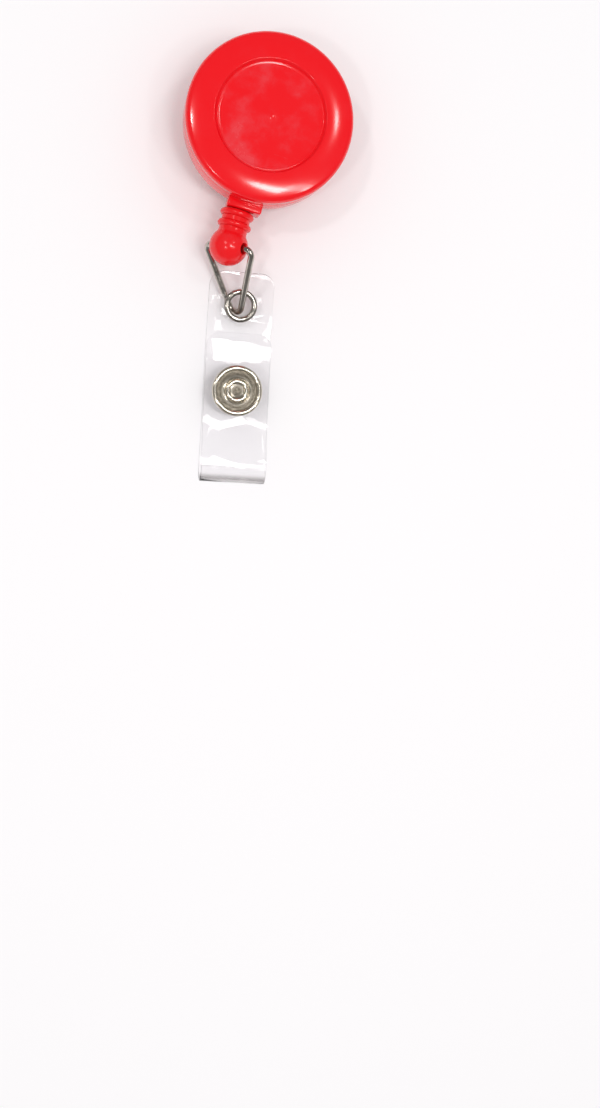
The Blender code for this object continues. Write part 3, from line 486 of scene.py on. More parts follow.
def plastic(name, colour, hazy, roughness, haze, cloud_size):
    """Moulded plastic: its colour clouds towards a paler haze where it was handled."""
    material, shader, nodes, links = new_material(name)
    marks = placed_group(nodes, links, HANDLING, Cloud_size=cloud_size, Amount=haze)
    both = maths(nodes, links, "MAXIMUM", marks.outputs["Cloud"], marks.outputs["Scratch"])
    links.new(tinted(nodes, links, both, colour, hazy), shader.inputs["Base Color"])
    rough = ranged(nodes, links, both, 0.0, 1.0, roughness, roughness + 0.22)
    links.new(rough, shader.inputs["Roughness"])
    bumped(nodes, links, shader, marks.outputs["Height"], PLASTIC_GRAIN)
    return material


def red_shell():
    """Glossy red moulding, clouded paler in the label recess and with few clouds on the ring; the
    clouds are handling marks, and in the recess also a painted hazy reflection.
    """
    material, shader, nodes, links = new_material("red_shell")
    marks = placed_group(nodes, links, HANDLING, Cloud_size=135.0, Amount=1.0)
    where = nodes.new("ShaderNodeTexCoord")
    flat = nodes.new("ShaderNodeVectorMath")
    flat.operation = "MULTIPLY"
    flat.inputs[1].default_value = (1, 1, 0)
    links.new(where.outputs["Object"], flat.inputs[0])
    out = nodes.new("ShaderNodeVectorMath")
    out.operation = "LENGTH"
    links.new(flat.outputs[0], out.inputs[0])
    # Painted reflection: inside the label recess the paler clouds are made strong, standing in part
    # for a hazy sheen
    edge = LABEL_RADIUS - 0.3 * MM
    amount = ranged(nodes, links, out.outputs["Value"], edge, LABEL_RADIUS, RECESS_HAZE_AND_SHEEN, RING_HAZE)
    clouds_and_scratches = maths(nodes, links, "MAXIMUM", marks.outputs["Cloud"], marks.outputs["Scratch"])
    both = maths(nodes, links, "MULTIPLY", clouds_and_scratches, amount)
    colour = tinted(nodes, links, both, SHELL_RED, SHELL_HAZE_AND_SHEEN)
    links.new(colour, shader.inputs["Base Color"])
    links.new(ranged(nodes, links, both, 0.0, 1.0, 0.15, 0.42), shader.inputs["Roughness"])
    shader.inputs["Coat Weight"].default_value = 0.2
    shader.inputs["Coat Roughness"].default_value = 0.08
    bumped(nodes, links, shader, marks.outputs["Height"], PLASTIC_GRAIN)
    return material


def snap_metal():
    """Nickel with a brass tint, matt down in the channel between ring and hub, where it is painted
    dark as shade.
    """
    material, shader, nodes, links = new_material("snap_plating")
    plate = placed_group(nodes, links, PLATING, Line_size=2600.0, Tarnish=0.4)
    where = nodes.new("ShaderNodeTexCoord")
    split = nodes.new("ShaderNodeSeparateXYZ")
    links.new(where.outputs["Object"], split.inputs[0])
    floor = SNAP_FRONT_Z + LAYER_FACE + SNAP_WEB
    # Painted shade: near the channel floor the colour goes dark, with paler specks, and the plating
    # turns matt
    low = ranged(nodes, links, split.outputs["Z"], floor + 0.04 * MM, floor + 0.3 * MM, 1.0, 0.0)
    open_plating = tinted(nodes, links, plate.outputs["Tarnish"], SNAP_CLEAN, SNAP_TARNISHED)
    fine = placed_group(nodes, links, PLATING, Line_size=5200.0, Tarnish=1.0)
    specks = ranged(nodes, links, fine.outputs["Height"], 0.4, 0.6)
    painted_channel_shade = tinted(nodes, links, specks, CHANNEL_SHADE_DARK, CHANNEL_SHADE_PALE)
    links.new(tinted(nodes, links, low, open_plating, painted_channel_shade), shader.inputs["Base Color"])
    links.new(ranged(nodes, links, low, 0.0, 1.0, 0.16, 0.42), shader.inputs["Roughness"])
    shader.inputs["Metallic"].default_value = 1.0
    coarse = maths(nodes, links, "ADD", low, 0.03)
    grain = maths(nodes, links, "MULTIPLY", plate.outputs["Height"], coarse)
    bumped(nodes, links, shader, grain, SNAP_GRAIN, 0.6)
    return material


def metal(name, colour, dull, low, high, tarnish):
    """Plated metal, whose roughness changes between low and high."""
    material, shader, nodes, links = new_material(name)
    plate = placed_group(nodes, links, PLATING, Line_size=4000.0, Tarnish=tarnish)
    body = tinted(nodes, links, plate.outputs["Tarnish"], colour, dull)
    links.new(body, shader.inputs["Base Color"])
    rough = ranged(nodes, links, plate.outputs["Polish"], 0.0, 1.0, low, high)
    links.new(rough, shader.inputs["Roughness"])
    shader.inputs["Metallic"].default_value = 1.0
    bumped(nodes, links, shader, plate.outputs["Height"], METAL_GRAIN)
    return material


def clear_vinyl():
    """Clear soft sheet. Light passes it almost freely, and where it turns away its colour is
    painted greyer, as shade along its edges.
    """
    material, shader, nodes, links = new_material("clear_vinyl_sheet")
    marks = placed_group(nodes, links, HANDLING, Cloud_size=180.0, Amount=0.6)
    rim = nodes.new("ShaderNodeLayerWeight")
    rim.inputs["Blend"].default_value = 0.5
    # Painted shade: the colour greys where the sheet turns away, standing in for the dark lines its
    # edges show
    turned_away = ranged(nodes, links, rim.outputs["Facing"], 0.08, 0.45)
    body = tinted(nodes, links, marks.outputs["Cloud"], (1.0, 1.0, 1.0), (0.99, 0.99, 0.99))
    links.new(tinted(nodes, links, turned_away, body, VINYL_EDGE_SHADE), shader.inputs["Base Color"])
    rough = ranged(nodes, links, marks.outputs["Scratch"], 0.0, 1.0, 0.035, 0.12)
    links.new(rough, shader.inputs["Roughness"])
    shader.inputs["IOR"].default_value = 1.4
    shader.inputs["Transmission Weight"].default_value = 1.0
    shader.inputs["Specular IOR Level"].default_value = 0.3
    bumped(nodes, links, shader, marks.outputs["Height"], VINYL_GRAIN)
    through = nodes.new("ShaderNodeBsdfTransparent")
    through.inputs["Color"].default_value = VINYL_SHADOW
    path = nodes.new("ShaderNodeLightPath")
    mix = nodes.new("ShaderNodeMixShader")
    shadow, diffuse = path.outputs["Is Shadow Ray"], path.outputs["Is Diffuse Ray"]
    links.new(maths(nodes, links, "MAXIMUM", shadow, diffuse), mix.inputs["Fac"])
    links.new(shader.outputs["BSDF"], mix.inputs[1])
    links.new(through.outputs["BSDF"], mix.inputs[2])
    links.new(mix.outputs["Shader"], nodes["Material Output"].inputs["Surface"])
    return material


def braided_cord():
    """White braid: two sets of strands wound round the cord's length, which lies along Y, with the
    gaps between strands painted darker as shade.
    """
    material, shader, nodes, links = new_material("braided_nylon")
    where = nodes.new("ShaderNodeTexCoord")
    centre = nodes.new("ShaderNodeMapping")
    centre.inputs["Location"].default_value = (-BALL.x, 0, -BALL.z)
    links.new(where.outputs["Object"], centre.inputs["Vector"])
    split = nodes.new("ShaderNodeSeparateXYZ")
    links.new(centre.outputs["Vector"], split.inputs[0])
    turn = maths(nodes, links, "ARCTAN2", split.outputs["Z"], split.outputs["X"])
    along = maths(nodes, links, "MULTIPLY", split.outputs["Y"], BRAID_LAY)
    waves = []
    for hand in (-1, 1):
        round_cord = maths(nodes, links, "MULTIPLY", turn, BRAID_STRANDS * hand)
        phase = maths(nodes, links, "ADD", round_cord, along)
        waves.append(maths(nodes, links, "ABSOLUTE", maths(nodes, links, "SINE", phase)))
    strand = maths(nodes, links, "MAXIMUM", *waves)
    # Painted shade: the colour darkens in the gaps between strands
    colour = tinted(nodes, links, strand, BRAID_GAP_SHADE, BRAID_CREST)
    links.new(colour, shader.inputs["Base Color"])
    shader.inputs["Roughness"].default_value = 0.6
    shader.inputs["Sheen Weight"].default_value = 0.3
    bumped(nodes, links, shader, strand, BRAID_RELIEF, 0.8)
    return material


RED = red_shell()
SOFT_RED = plastic("soft_red_moulding", (0.88, 0.006, 0.01), (0.84, 0.02, 0.03), 0.18, 0.35, 420.0)
BLACK = plastic("black_drum", (0.03, 0.03, 0.032), (0.07, 0.07, 0.07), 0.4, 0.5, 500.0)
WHITE = plastic("white_washer", (0.86, 0.86, 0.84), (0.7, 0.7, 0.68), 0.4, 0.4, 900.0)
NICKEL = metal("nickel_plating", (0.56, 0.52, 0.47), (0.34, 0.3, 0.25), 0.12, 0.26, 0.4)
SNAP_NICKEL = snap_metal()
STEEL = metal("plated_spring_steel", (0.6, 0.6, 0.59), (0.4, 0.39, 0.38), 0.2, 0.36, 0.4)
VINYL = clear_vinyl()
BRAID = braided_cord()


# --- modelling by hand ------------------------------------------------------------------

def deselect():
    if bpy.context.object and bpy.context.object.mode != "OBJECT":
        bpy.ops.object.mode_set(mode="OBJECT")
    bpy.ops.object.select_all(action="DESELECT")


def pick(obj):
    """Makes this the only piece that the next operator acts on."""
    deselect()
    bpy.context.view_layer.objects.active = obj
    obj.select_set(True)


def edit(obj):
    pick(obj)
    bpy.ops.object.mode_set(mode="EDIT")


def leave_edit():
    bpy.ops.object.mode_set(mode="OBJECT")


def apply_all(obj):
    """Takes a piece's modifiers into its mesh."""
    pick(obj)
    for modifier in list(obj.modifiers):
        bpy.ops.object.modifier_apply(modifier=modifier.name)


def put(obj, matrix):
    """Moves a piece, then takes its place, turn and size into its mesh."""
    pick(obj)
    obj.matrix_world = matrix @ obj.matrix_world
    bpy.ops.object.transform_apply(location=True, rotation=True, scale=True)


def added():
    """The primitive just added, with its place and size in its mesh."""
    obj = bpy.context.object
    put(obj, AS_IT_IS)
    return obj


def merge_and_face_out():
    """Closes the seams of what is in edit mode and points its faces outwards."""
    bpy.ops.mesh.select_all(action="SELECT")
    bpy.ops.mesh.remove_doubles(threshold=0.0005 * MM)
    bpy.ops.mesh.normals_make_consistent(inside=False)
    leave_edit()


def finished(obj, name, material, body, nodes, smooth=35):
    """Names a piece, gives it its finish and ties it to the model."""
    obj.name = name
    obj.data.name = name
    obj.data.materials.clear()
    obj.data.materials.append(material)
    pick(obj)
    bpy.ops.object.shade_smooth_by_angle(angle=math.radians(smooth))
    if body:
        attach(obj, body)
    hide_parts(*nodes)


def arc(a, b, radius, start, end, steps):
    """Points on an arc about (a, b), angles in degrees."""
    turns = [math.radians(start + (end - start) * i / steps) for i in range(steps + 1)]
    return [(a + radius * math.cos(t), b + radius * math.sin(t)) for t in turns]


def outline_object(outline, closed):
    """A single vertex drawn out into an outline of (radius, height) in the XZ plane."""
    deselect()
    bpy.ops.mesh.primitive_plane_add(size=MM, location=(0, 0, 0))
    obj = bpy.context.object
    edit(obj)
    bpy.ops.mesh.select_all(action="SELECT")
    bpy.ops.mesh.merge(type="CENTER")
    points = [Vector((r, 0, z)) for r, z in outline]
    if closed:
        points.append(points[0])
    bpy.ops.transform.translate(value=points[0])
    for before, after in zip(points, points[1:]):
        bpy.ops.mesh.extrude_vertices_move(TRANSFORM_OT_translate={"value": after - before})
    return obj


def turned(outline, steps=96, closed=True):
    """Spins an outline about Z into a solid."""
    obj = outline_object(outline, closed)
    bpy.ops.mesh.select_all(action="SELECT")
    bpy.ops.mesh.spin(steps=steps, angle=math.tau, center=(0, 0, 0), axis=(0, 0, 1))
    merge_and_face_out()
    return obj


def cut(obj, cutter, operation="DIFFERENCE"):
    """Cuts with another solid, or joins it on, and uses it up."""
    modifier = obj.modifiers.new("cut", "BOOLEAN")
    modifier.operation = operation
    modifier.solver = "EXACT"
    modifier.object = cutter
    apply_all(obj)
    bpy.data.objects.remove(cutter)


def softened(obj, width, segments, angle=40):
    """Rounds the sharp edges over."""
    modifier = obj.modifiers.new("soft edges", "BEVEL")
    modifier.width = width
    modifier.segments = segments
    modifier.limit_method = "ANGLE"
    modifier.angle_limit = math.radians(angle)
    modifier.use_clamp_overlap = True
    apply_all(obj)
    return obj


def copied(node):
    """A merged copy of a model node, whose flat faces are whole again."""
    deselect()
    source = frame["nodes"][node]
    obj = source.copy()
    obj.data = source.data.copy()
    bpy.context.scene.collection.objects.link(obj)
    obj.parent = None
    obj.matrix_world = Matrix.Identity(4)
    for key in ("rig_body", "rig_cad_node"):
        del obj[key]
    edit(obj)
    bpy.ops.mesh.select_all(action="SELECT")
    bpy.ops.mesh.remove_doubles(threshold=0.001 * MM)
    bpy.ops.mesh.dissolve_limited(angle_limit=math.radians(2))
    leave_edit()
    return obj


# --- case ---------------------------------------------------------------------------------

def crown():
    """The cover's outside, from the label recess over the domed ring and the rim to the seam."""
    floor = FACE_Z - LABEL_DEPTH
    flat_from = LABEL_RADIUS + LABEL_DEPTH
    slope_end = 76
    centre = COVER_RADIUS - CROWN_RADIUS
    centre_z = FACE_Z - CROWN_DROP - CROWN_RADIUS
    rim_from = centre + CROWN_RADIUS * math.cos(math.radians(slope_end))
    drop = FACE_Z - centre_z - CROWN_RADIUS * math.sin(math.radians(slope_end))
    gate = [(out * MM, floor + up * MM) for out, up in GATE_MARK]
    ring = [(r * MM, floor) for r in (2, 4, 6, 8, 9.2)]
    step = [(LABEL_RADIUS - inward * MM, floor + up * MM) for inward, up in LABEL_LIP]
    step += arc(LABEL_RADIUS - LABEL_FILLET, floor + LABEL_FILLET, LABEL_FILLET, -40, -10, 3)
    edge_radius = LABEL_DEPTH * 0.6
    round_edge = arc(flat_from, FACE_Z - edge_radius, edge_radius, 160, 90, 7)
    slope = []
    for i in range(1, 16):
        t = i / 16
        slope.append((flat_from + (rim_from - flat_from) * t, FACE_Z - drop * t * t))
    rim = arc(centre, centre_z, CROWN_RADIUS, slope_end, 0, 18)
    seam = SEAM_Z + TOUCH
    seam_edge = arc(COVER_RADIUS - SEAM_EDGE, seam + SEAM_EDGE, SEAM_EDGE, 0, -90, 4)
    return gate + ring + step + round_edge + slope + rim + seam_edge, floor


def build_cover():
    outside, floor = crown()
    socket = POST_RADIUS + RUN
    outline = [(0, floor + GATE_HEIGHT)] + outside + [
        (LIP_OUTER, SEAM_Z + TOUCH),
        (LIP_OUTER, SEAM_Z - LIP_DEPTH),
        (LIP_INNER, SEAM_Z - LIP_DEPTH),
        (LIP_INNER, CEILING_Z),
        (socket, CEILING_Z),
        (socket, CEILING_Z + POST_SOCKET_DEPTH),
        (0, CEILING_Z + POST_SOCKET_DEPTH),
    ]
    cover = turned(outline, 160, closed=False)
    finished(cover, "cover_shell", RED, "case", ["front_cover"], 30)


def build_rear():
    """Rear shell with its centre post, and the cord's outlet in its side."""
    foot = REAR_RADIUS - REAR_DRAFT
    floor = CASE_BOTTOM + CASE_FLOOR
    rivet_top = CASE_BOTTOM + RIVET_HOLE_DEPTH
    post_top = CEILING_Z + POST_SOCKET_DEPTH - TOUCH
    outline = [
        (0, rivet_top), (RIVET_HOLE, rivet_top), (RIVET_HOLE, CASE_BOTTOM),
        (4 * MM, CASE_BOTTOM), (8 * MM, CASE_BOTTOM), (12 * MM, CASE_BOTTOM),
        *arc(foot - REAR_EDGE, CASE_BOTTOM + REAR_EDGE, REAR_EDGE, -90, 0, 10),
        *arc(REAR_RADIUS - REAR_LIP, SEAM_Z - REAR_LIP, REAR_LIP, 0, 90, 4),
        (REAR_INNER, SEAM_Z), (REAR_INNER, floor),
        (POST_RADIUS, floor), (POST_RADIUS, post_top), (0, post_top),
    ]
    rear = turned(outline, 160, closed=False)
    low = Vector((-OUTLET_WIDTH / 2, OUTLET_Y, BALL.z - OUTLET_HEIGHT / 2))
    high = Vector((OUTLET_WIDTH / 2, -REAR_INNER - CASE_WALL / 2, BALL.z + OUTLET_HEIGHT / 2))
    bpy.ops.mesh.primitive_cube_add(size=1, location=(low + high) / 2, scale=high - low)
    outlet = added()
    softened(outlet, OUTLET_EDGE, 4)
    cut(rear, outlet, "UNION")
    deselect()
    bpy.ops.mesh.primitive_cylinder_add(
        vertices=48, radius=OUTLET_BORE, depth=12 * MM,
        location=(BALL.x, OUTLET_Y, BALL.z), rotation=(math.pi / 2, 0, 0),
    )
    cut(rear, added())
    deselect()
    bpy.ops.mesh.primitive_uv_sphere_add(
        segments=32, ring_count=16, radius=OUTLET_MOUTH, location=(BALL.x, -REAR_INNER, BALL.z)
    )
    cut(rear, added())
    deselect()
    slot_low, slot_high = rivet_top + AIR, post_top + CASE_WALL
    size = Vector((2 * (POST_RADIUS + TOUCH), POST_SLOT, slot_high - slot_low))
    middle = (0, 0, (slot_low + slot_high) / 2)
    bpy.ops.mesh.primitive_cube_add(size=1, location=middle, scale=size)
    cut(rear, added())
    finished(rear, "rear_shell", RED, "case", ["rear_case"], 30)


# --- cord and end fitting -------------------------------------------------------------------

def build_fitting():
    """Ribbed sleeve and ball, bored for the cord, its knot and the wire."""
    outline = [(SLEEVE_BORE, 0.0)]
    for rib in range(RIB_COUNT):
        middle = RIB_HALF + rib * RIB_PITCH
        outline += arc(RIB_RADIUS - RIB_HALF, middle, RIB_HALF, -90, 90, 14)
        outline.append((SLEEVE_RADIUS, middle + RIB_HALF + 0.04 * MM))
        if rib < RIB_COUNT - 1:
            outline.append((SLEEVE_RADIUS, middle + RIB_PITCH - RIB_HALF - 0.04 * MM))
    join = math.degrees(math.asin(SLEEVE_RADIUS / BALL_RADIUS))
    neck = BALL_FROM_TOP - BALL_RADIUS * math.cos(math.radians(join))
    knot = neck - 2 * TOUCH
    outline.append((SLEEVE_RADIUS, neck - 0.25 * MM))
    outline += arc(0, BALL_FROM_TOP, BALL_RADIUS, -90 + join + 3, 90, 34)[:-1]
    outline += [
        (0, BALL_FROM_TOP + BALL_RADIUS),
        (0, BALL_FROM_TOP),
        (SLEEVE_BORE, BALL_FROM_TOP),
        (SLEEVE_BORE, knot + 1.5 * KNOT_ROOM),
        (KNOT_ROOM, knot + KNOT_ROOM),
        (KNOT_ROOM, knot - KNOT_ROOM),
        (SLEEVE_BORE, knot - 1.5 * KNOT_ROOM),
    ]
    fitting = turned(outline, 96)
    wide = CROSS_HOLE + CROSS_FLARE
    reach = math.sqrt(BALL_RADIUS ** 2 - CROSS_HOLE ** 2)
    half = [(wide, BALL_RADIUS + 1 * MM), (wide, reach)]
    for a in (30, 60, 90):
        inwards = 1 - math.sin(math.radians(a))
        down = 1 - math.cos(math.radians(a))
        half.append((CROSS_HOLE + CROSS_FLARE * inwards, reach - CROSS_FLARE * down))
    whole = half + [(r, -z) for r, z in reversed(half)]
    cross = turned([(0, half[0][1])] + whole + [(0, -half[0][1])], 48, closed=False)
    spin = Matrix.Rotation(FITTING_TWIST, 4, "Z") @ Matrix.Rotation(math.pi / 2, 4, "Y")
    put(cross, Matrix.Translation((0, 0, BALL_FROM_TOP)) @ spin)
    cut(fitting, cross)
    top = Vector((BALL.x, FITTING_TOP, BALL.z))
    put(fitting, Matrix.Translation(top) @ Matrix.Rotation(math.pi / 2, 4, "X"))
    finished(fitting, "ribbed_ball_end", SOFT_RED, "fitting", ["end_fitting"], 32)


def swept(points, radius, sides):
    """A round rod along points, made as a curve and turned into a mesh."""
    deselect()
    bpy.ops.curve.primitive_nurbs_path_add()
    obj = bpy.context.object
    curve = obj.data
    curve.splines.clear()
    spline = curve.splines.new("POLY")
    spline.points.add(len(points) - 1)
    for target, point in zip(spline.points, points):
        target.co = (*point, 1.0)
    curve.dimensions = "3D"
    curve.bevel_depth = radius
    curve.bevel_resolution = sides // 4
    curve.use_fill_caps = True
    obj.select_set(True)
    bpy.ops.object.convert(target="MESH")
    obj = bpy.context.object
    edit(obj)
    merge_and_face_out()
    return obj


def build_cord():
    """The stretch of cord between the case and the knot, which lengthens as it is pulled."""
    low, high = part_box("cord_outer_run")
    start = Vector((BALL.x, high.y, BALL.z))
    end = Vector((BALL.x, low.y, BALL.z))
    rings = 40
    cord = swept([start.lerp(end, i / rings) for i in range(rings + 1)], CORD_RADIUS, 16)
    finished(cord, "pull_cord", BRAID, None, ["cord_outer_run"], 60)
    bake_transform(cord)


# --- wire loop --------------------------------------------------------------------------------

def loop_matrix():
    """Frame of the wire loop: X through the cross hole, -Y towards the foot."""
    dip = math.asin((BALL.z - LOOP_FOOT_HEIGHT) / LOOP_LENGTH)
    level = Vector((math.sin(LOOP_YAW), -math.cos(LOOP_YAW), 0)) * math.cos(dip)
    towards_foot = level - Vector((0, 0, math.sin(dip)))
    across = Vector(JOINTS["loop_swing"]["axis"])
    across = (across - towards_foot * across.dot(towards_foot)).normalized()
    normal = across.cross(-towards_foot)
    return Matrix.Translation(BALL) @ Matrix((across, -towards_foot, normal)).transposed().to_4x4()


def straight_leg_length():
    """How far the straight legs would run before they met, past the rounded foot."""
    length = LOOP_LENGTH
    for _ in range(40):
        half_angle = math.atan2(LOOP_HALF_WIDTH, length)
        length = LOOP_LENGTH + LOOP_FOOT_RADIUS * (1 / math.sin(half_angle) - 1)
    return length


def build_wire():
    """The wire loop, from one end in the cross hole round the foot to the other end."""
    slope = math.atan2(LOOP_HALF_WIDTH, straight_leg_length())
    lean = math.degrees(slope)
    back = LOOP_CORNER_RADIUS * math.tan((math.pi / 2 - slope) / 2)
    corner = arc(LOOP_HALF_WIDTH - back, -LOOP_CORNER_RADIUS, LOOP_CORNER_RADIUS, 90, -lean, 14)
    foot = arc(0, LOOP_FOOT_RADIUS - LOOP_LENGTH, LOOP_FOOT_RADIUS, -lean, -90, 14)
    half = [(LOOP_PIN_INNER, 0)] + corner + foot
    whole = half + [(-x, y) for x, y in reversed(half[:-1])]
    wire = swept([(x, y, 0) for x, y in whole], WIRE_DRAWN * WIRE_RADIUS, 24)
    put(wire, loop_matrix())
    finished(wire, "bent_wire", NICKEL, "loop", ["wire_loop"], 60)


# --- strap --------------------------------------------------------------------------------------

def smooth_step(t):
    t = min(max(t, 0.0), 1.0)
    return t * t * (3 - 2 * t)


STRAP_X = Vector(JOINTS["flap_open"]["axis"]).normalized()
STRAP_Y = Z_AXIS.cross(STRAP_X)
STRAP_PLACE = Matrix.Translation(Vector((FOLD.x, FOLD.y, 0)) - STRAP_Y * FOLD_Y) @ Matrix(
    (STRAP_X, STRAP_Y, Z_AXIS)
).transposed().to_4x4()
FOLD_MIDDLE_RADIUS = FOLD_RADIUS - STRAP_HALF
BACK_Z = FOLD_Z - FOLD_MIDDLE_RADIUS
FRONT_Z = FOLD_Z + FOLD_MIDDLE_RADIUS


def back_height(y):
    """Middle of the back layer above the table."""
    flat_end = SNAP_Y + SNAP_FLAT
    if y < flat_end:
        drop = smooth_step((y - FOLD_Y) / (SNAP_Y - SNAP_FLAT - FOLD_Y))
        return BACK_Z + (SNAP_BACK_Z - BACK_Z) * drop
    along = (y - flat_end) / (EYELET_TO_END - flat_end)
    return SNAP_BACK_Z + END_LIFT * along ** 1.5


def rear_sheet_height(y):
    """The back layer's middle, a hair higher where the wire's foot passes under it."""
    return back_height(y) + SHEET_LIFT * smooth_step((y - SNAP_Y - SNAP_FLAT) / SHEET_LIFT_RUN)


def front_height(y):
    """Middle of the front layer, which the snap pulls down on to the back one."""
    flat_end = SNAP_Y + SNAP_FLAT
    if y < flat_end:
        drop = smooth_step((y - FOLD_Y) / (SNAP_Y - SNAP_FLAT - FOLD_Y))
        return FRONT_Z + (SNAP_FRONT_Z - FRONT_Z) * drop
    return SNAP_FRONT_Z + TAIL_LIFT * smooth_step((y - flat_end) / (TAIL_Y - flat_end))


def strap_layer(low_y, high_y, height, holes):
    """A punched strip with two round corners, softened edges and the strap's bend."""
    deselect()
    size = Vector((STRAP_WIDTH, high_y - low_y, STRAP_THICKNESS))
    bpy.ops.mesh.primitive_cube_add(size=1, location=(0, (low_y + high_y) / 2, 0), scale=size)
    strip = added()
    edit(strip)
    bpy.ops.mesh.select_mode(type="EDGE")
    bpy.ops.mesh.select_all(action="DESELECT")
    bm = bmesh.from_edit_mesh(strip.data)
    for line in bm.edges:
        a, b = (v.co for v in line.verts)
        line.select = min(a.y, b.y) > high_y - TOUCH and abs(a.z - b.z) > STRAP_HALF
    bm.select_flush_mode()
    bmesh.update_edit_mesh(strip.data)
    bpy.ops.mesh.bevel(offset=STRAP_CORNER, segments=14, affect="EDGES")
    bpy.ops.mesh.select_mode(type="VERT")
    leave_edit()
    for radius, y in holes:
        deselect()
        bpy.ops.mesh.primitive_cylinder_add(
            vertices=64, radius=radius, depth=4 * MM, location=(0, y, 0)
        )
        cut(strip, added())
    edit(strip)
    lengths = 48
    for i in range(1, lengths):
        bpy.ops.mesh.select_all(action="SELECT")
        y = low_y + (high_y - low_y) * i / lengths
        bpy.ops.mesh.bisect(plane_co=(0, y, 0), plane_no=(0, 1, 0))
    leave_edit()
    softened(strip, STRAP_EDGE, 3, 50)
    for vertex in strip.data.vertices:
        vertex.co.z += height(vertex.co.y)
    put(strip, STRAP_PLACE)
    return strip


def build_fold():
    """The half round bend between the layers: the strap's section spun about the fold's axis."""
    deselect()
    bpy.ops.mesh.primitive_plane_add(size=1, location=(0, 0, 0))
    fold = bpy.context.object
    fold.scale = (STRAP_WIDTH, STRAP_THICKNESS, 1)
    fold.rotation_euler = (math.pi / 2, 0, 0)
    fold.location = (0, FOLD_Y, FRONT_Z)
    put(fold, AS_IT_IS)
    edit(fold)
    bpy.ops.mesh.select_all(action="SELECT")
    bpy.ops.mesh.bevel(offset=STRAP_EDGE, segments=3, affect="VERTICES")
    bpy.ops.mesh.select_all(action="SELECT")
    bpy.ops.mesh.spin(steps=36, angle=-math.pi, center=(0, FOLD_Y, FOLD_Z), axis=(1, 0, 0))
    merge_and_face_out()
    put(fold, STRAP_PLACE)
    return fold


def build_strap():
    """Two layers and the fold between them, which bends as the front layer opens."""
    for_eyelet = (EYELET_HOLE + EYELET_WALL + TOUCH, 0)
    for_snap = (SNAP_TUBE + TOUCH, SNAP_Y)
    back = strap_layer(FOLD_Y, EYELET_TO_END, rear_sheet_height, [for_eyelet, for_snap])
    finished(back, "strap_rear_layer", VINYL, "strap", ["strap_back"], 35)
    front = strap_layer(FOLD_Y, TAIL_Y, front_height, [for_snap])
    finished(front, "strap_front_layer", VINYL, "flap", ["strap_front"], 35)
    fold = build_fold()
    finished(fold, "strap_bend", VINYL, None, ["strap_fold"], 35)
    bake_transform(fold)


def rolled_rim(inner, outer, height, rise, angles):
    """Half of a rolled rim between two radii, up or down from a height by the sign of rise."""
    middle, reach = (inner + outer) / 2, (outer - inner) / 2
    points = []
    for a in angles:
        swell = max(0, math.sin(math.radians(a))) ** BEAD_FULLNESS
        points.append((middle + reach * math.cos(math.radians(a)), height + rise * swell))
    return points


def build_eyelet():
    """Flanged tube with a rolled rim, and the ring it is set over behind the strap."""
    rise = math.atan2(back_height(TOUCH) - back_height(-TOUCH), 2 * TOUCH)
    place = STRAP_PLACE @ Matrix.Translation((0, 0, back_height(0))) @ Matrix.Rotation(rise, 4, "X")
    tube = EYELET_HOLE + EYELET_WALL
    low = -LAYER_FACE - EYELET_TAIL
    outline = [(tube, LAYER_FACE)]
    outline += rolled_rim(EYELET_HOLE, EYELET_RADIUS, LAYER_FACE, EYELET_BEAD, range(0, 181, 10))
    outline += [(EYELET_HOLE, low + 0.15 * MM), (EYELET_HOLE + 0.08 * MM, low), (tube, low)]
    flange = turned(outline, 96)
    put(flange, place)
    finished(flange, "eyelet_flange", NICKEL, "strap", ["eyelet_front"])
    under = rolled_rim(tube + TOUCH, EYELET_RADIUS, -LAYER_FACE, -EYELET_TAIL, range(180, -1, -10))
    ring = turned(under, 96)
    put(ring, place)
    finished(ring, "eyelet_ring", NICKEL, "strap", ["eyelet_washer"])


def snap_place(layer_z):
    """Frame of a snap piece: on the snap's axis, at the middle of a layer of the strap."""
    return STRAP_PLACE @ Matrix.Translation((0, SNAP_Y, layer_z))


def build_snap_cap():
    """Rolled ring, channel and hub in front, with the tube that goes down through the snap."""
    bead, web, hub = SNAP_BEAD, SNAP_WEB, SNAP_HUB
    hub_half = (SNAP_HUB - SNAP_DIMPLE) / 2
    hub_crest = (SNAP_HUB + SNAP_DIMPLE) / 2
    hub_centre = LAYER_FACE + SNAP_HUB_HEIGHT - hub_half
    tube_end = SNAP_BACK_Z + LAYER_FACE + STUD_HEIGHT + TOUCH - SNAP_FRONT_Z
    cap = [
        (0, LAYER_FACE + web),
        (0.35 * SNAP_DIMPLE, LAYER_FACE + 1.05 * web),
        (0.7 * SNAP_DIMPLE, LAYER_FACE + 1.4 * web),
        *arc(hub_crest, hub_centre, hub_half, 165, 0, 12),
        (hub + 0.15 * MM, LAYER_FACE + 0.62 * SNAP_HUB_HEIGHT),
        (hub + 0.55 * MM, LAYER_FACE + 0.48 * SNAP_HUB_HEIGHT),
        (hub + 0.95 * MM, LAYER_FACE + 1.15 * web),
        (hub + 1.15 * MM, LAYER_FACE + web),
        *arc(SNAP_RADIUS - bead, LAYER_FACE + bead, bead, 205, -90, 24),
        (SNAP_TUBE, LAYER_FACE), (SNAP_TUBE, tube_end), (0, tube_end),
    ]
    front = turned(cap, 96, closed=False)
    put(front, snap_place(SNAP_FRONT_Z))
    finished(front, "snap_ring_cap", SNAP_NICKEL, "flap", ["snap_cap"])


